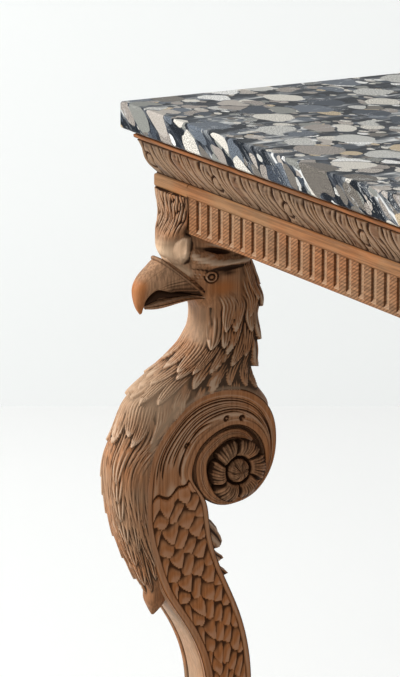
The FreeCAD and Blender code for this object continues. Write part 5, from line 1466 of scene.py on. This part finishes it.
def lay_cornice(name, node, corner, far, far_mitred, out):
    """A cornice length as a closed bar, from a mitred corner to its far end."""
    low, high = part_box(node)
    side_low, side_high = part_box("left_cornice")
    corner, far, out = np.array(corner), np.array(far), np.array(out, float)
    length = np.linalg.norm(far - corner) / MM
    way = (far - corner) / np.linalg.norm(far - corner)
    reach = (side_high.x - side_low.x) / MM
    walk, lean, height, relief = cornice_shape(length, reach, low.z / MM, high.z / MM)
    start = -lean
    stop = length + lean * far_mitred
    along = (start + (stop - start) * walk / length)[..., None] * MM
    level = (height * MM)[..., None] * np.array((0.0, 0.0, 1.0))
    face = corner + way * along + out * (lean * MM)[..., None] + level
    back = corner + way * (walk * MM)[..., None] + level[[-1, 0]]
    surface = np.concatenate((face, back, face[:1]), axis=0)
    rise = (height - low.z / MM) / (high.z - low.z) * MM
    quirks = np.max([hump(rise - level_at, half) for level_at, half in QUIRKS], axis=0)
    # Painted shade in the quirks, and a painted shadow line at the foot above the band
    cut = cut_depth(relief, 3, 0.6, False) + 0.10 * (relief != 0) + quirks + 0.9 * hump(rise, 0.04)
    fillet = ease(height, FILLET_FROM - 1, FILLET_FROM)
    streaks = 0.5 + 0.5 * np.sin(walk / 15 + 3 * np.sin(walk / 37) + 60 * rise)
    # The fillet streaked dark, with a painted shadow along its top under the stone
    cut = cut + fillet * (0.26 * (1 - streaks) + 0.42 * ease(rise, 0.95, 0.975))
    fillet = fillet * (1 - quirks) * (0.30 + 0.34 * streaks)
    tone = np.concatenate((fillet, np.zeros_like(cut[:2]), fillet[:1]), axis=0)
    cut = np.concatenate((cut, np.full_like(cut[:2], 0.3), cut[:1]), axis=0)
    piece = carved_sheet(name, surface, cut, FINISHES["cornice_pine"], tone)
    settle(piece, "cornice_pine", node)


def make_cornices():
    """Front length between two mitres, and a side length from each mitre to the wall."""
    side_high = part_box("left_cornice")[1]
    face_y, face_x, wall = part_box("front_cornice")[1].y, side_high.x, side_high.y
    left, right = (face_x, face_y, 0), (-face_x, face_y, 0)
    lay_cornice("front_carved_cornice", "front_cornice", left, right, True, (0, -1, 0))
    lay_cornice("left_carved_cornice", "left_cornice", left, (face_x, wall, 0), False, (-1, 0, 0))
    lay_cornice("right_carved_cornice", "right_cornice", right, (-face_x, wall, 0), False, (1, 0, 0))


# Leaf behind the shank, with three hooked tips

# Way down the shank's back and stand out from it, along the leaf's ridge
LEAF_RIDGE = (
    (0, 0), (4, 7), (10, 14), (19, 20), (30, 23), (38, 23), (44, 20), (45, 9), (50, 11), (57, 17), (61, 17.5),
    (63, 12), (64, 5), (70, 8), (77, 14), (82, 15.5), (81, 9), (78, 0),
)
LEAF_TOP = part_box("left_back_leaf")[1].z / MM + 3.0
LEAF_HALF = (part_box("left_back_leaf")[1].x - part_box("left_back_leaf")[0].x) / MM / 2
LEAF_ROWS = 150
LEAF_COLUMNS = 44
LEAF_SEAT = 2.0


def make_back_leaf(side):
    """A ribbed leaf that lies on the shank's back and curls out at its tips."""
    at, stations, front, back = leg_strip()
    shank = (at > stations[SHANK_STATION]) & (at < stations[WAVE_STATION + 1])
    edge = back[shank][::-1]
    out = (back - front)[shank][::-1]
    out = out / np.linalg.norm(out, axis=1, keepdims=True)
    first = int(np.argmax(edge[:, 1] < LEAF_TOP))
    edge, out = edge[first:], out[first:]
    walk = walked(edge)
    ridge = np.array(LEAF_RIDGE, float)
    place = np.linspace(0, walked(ridge)[-1], LEAF_ROWS)
    down, stand = read_line(place, walked(ridge), ridge).T
    root, aim = read_line(down, walk, edge), read_line(down, walk, out)
    share = np.linspace(-1, 1, LEAF_COLUMNS)[None, :]
    half = (LEAF_HALF * (1 - 0.3 * ease(down, 20, 80)))[:, None]
    arch = np.clip(1 - np.abs(share) ** 2.6, 0, 1)
    ribs = 0.9 * np.cos(2 * np.pi * (2.2 * np.abs(share) + down[:, None] / 26))
    ribs = ribs - 1.1 * hump(share * half, 1.2)
    stand = (stand[:, None] + LEAF_SEAT) * arch - LEAF_SEAT + ribs * ease(stand, 2, 7)[:, None] * arch
    forward = root[:, :1] + aim[:, :1] * stand
    height = root[:, 1:] + aim[:, 1:] * stand
    surface = on_leg(side, half * share, forward, height)
    cut = cut_depth(ribs, 3, 1.0, False)
    piece = carved_sheet(side + "_hooked_leaf", surface, cut, FINISHES["carved_pine"])
    settle(piece, "carved_pine", side + "_back_leaf")


for side in SIDES:
    make_scroll_leg(side)
    make_breast(side)
    make_head(side)
    make_back_leaf(side)
    for cheek in ("inner", "outer"):
        for word in ROSETTES:
            make_rosette(side, cheek, word)
make_cornices()


# Floor, light and camera

CAMERA_PLACE = (2.68836, -2.02324, 1.57125)
CAMERA_TURN = 60.9
CAMERA_DROP = 14.5
CAMERA_LENS = 183.6
BACKDROP_PLACE = 5.62
FLOOR_SIZE, BACKDROP_SIZE = 40, 24
PAPER_SHADES = ((0.54, 0.55, 0.54, 1), (0.57, 0.58, 0.57, 1))
FLOOR_GLOW = (0.43, 0.43, 0.43, 1)
WALL_GLOW = (0.42, 0.43, 0.43, 1)
SKY_STRENGTH = 0.37
SKY_WHITE = (0.95, 0.96, 0.96, 1)
# Soft lamps: place, point aimed at, width and height in metres, power in watts
SOFTBOXES = {
    "key_light": ((-1.6, -3.2, 2.3), (0.0, -0.2, 0.6), 1.8, 1.8, 172),
    "fill_light": ((2.8, -0.7, 1.5), (-0.4, -0.2, 0.5), 1.6, 1.6, 18),
}


def seen_directly(tree):
    """One where the camera sees a surface, straight or by way of a shine or glass, and nought elsewhere."""
    ray = add_node(tree, "ShaderNodeLightPath").outputs
    mirrored = reckon(tree, "MAXIMUM", ray["Is Camera Ray"], ray["Is Glossy Ray"])
    return reckon(tree, "MAXIMUM", mirrored, ray["Is Transmission Ray"])


def paper(name, glow):
    """White studio paper, shown brighter to the camera than it lights the room, and clear from behind."""
    finish, tree, shader = new_finish(name)
    cloud = span(tree, noise(tree, own_place(tree), 0.6, 2.0, 0.5), 0.3, 0.7)
    behind = add_node(tree, "ShaderNodeNewGeometry").outputs["Backfacing"]
    fill(tree, shader, {
        "Base Color": blend(tree, cloud, *PAPER_SHADES), "Roughness": 0.9,
        "Emission Color": glow, "Emission Strength": seen_directly(tree),
        "Alpha": reckon(tree, "SUBTRACT", 1.0, behind),
    })
    return finish


def spread_paper(name, size, finish):
    """A square sheet of studio paper."""
    clear_selection()
    bpy.ops.mesh.primitive_plane_add(size=size)
    sheet = bpy.context.object
    sheet.name = name
    sheet.data.materials.append(finish)
    return sheet


def make_floor():
    """A wide pale floor that keeps the table's shadow."""
    floor = spread_paper("floor", FLOOR_SIZE, paper("floor_paper", FLOOR_GLOW))


def make_backdrop():
    """A white wall behind the table, square to the camera's view."""
    aim = math.radians(CAMERA_TURN + 90)
    wall = spread_paper("backdrop", BACKDROP_SIZE, paper("wall_paper", WALL_GLOW))
    wall.rotation_euler = (math.radians(90), 0, math.radians(CAMERA_TURN))
    wall.location = (
        CAMERA_PLACE[0] + BACKDROP_PLACE * math.cos(aim), CAMERA_PLACE[1] + BACKDROP_PLACE * math.sin(aim), 0,
    )
    bpy.ops.object.transform_apply(location=True, rotation=True, scale=True)


def put_up(name, thing, place):
    """A lamp or a camera put up at its place."""
    stand = bpy.data.objects.new(name, thing)
    bpy.context.scene.collection.objects.link(stand)
    stand.location = place
    return stand


def make_softbox(name, place, aim, width, height, power):
    """A soft lamp aimed at a point."""
    lamp = bpy.data.lights.new(name, "AREA")
    lamp.shape = "RECTANGLE"
    lamp.size = width
    lamp.size_y = height
    lamp.energy = power
    stand = put_up(name, lamp, place)
    stand.rotation_euler = (Vector(aim) - Vector(place)).to_track_quat("-Z", "Y").to_euler()


def make_sky():
    """Even studio light all round, seen as white by the camera."""
    world = bpy.data.worlds.new("studio")
    bpy.context.scene.world = world
    world.use_nodes = True
    tree = world.node_tree
    tree.nodes.clear()
    seen = seen_directly(tree)
    light = add_node(tree, "ShaderNodeBackground", {"Color": (1.0, 1.0, 1.0, 1), "Strength": SKY_STRENGTH})
    white = add_node(tree, "ShaderNodeBackground", {"Color": SKY_WHITE, "Strength": 1.0})
    mix = add_node(tree, "ShaderNodeMixShader", {0: seen, 1: light.outputs[0], 2: white.outputs[0]})
    output = tree.nodes.new("ShaderNodeOutputWorld")
    tree.links.new(mix.outputs[0], output.inputs["Surface"])


def make_camera():
    """The photograph's place and angle."""
    lens = bpy.data.cameras.new("camera")
    lens.lens = CAMERA_LENS
    stand = put_up("camera", lens, CAMERA_PLACE)
    stand.rotation_euler = (math.radians(90 - CAMERA_DROP), 0, math.radians(CAMERA_TURN))
    bpy.context.scene.camera = stand


make_floor()
make_backdrop()
make_sky()
for name, setting in SOFTBOXES.items():
    make_softbox(name, *setting)
make_camera()
bpy.context.scene.view_settings.view_transform = "Standard"
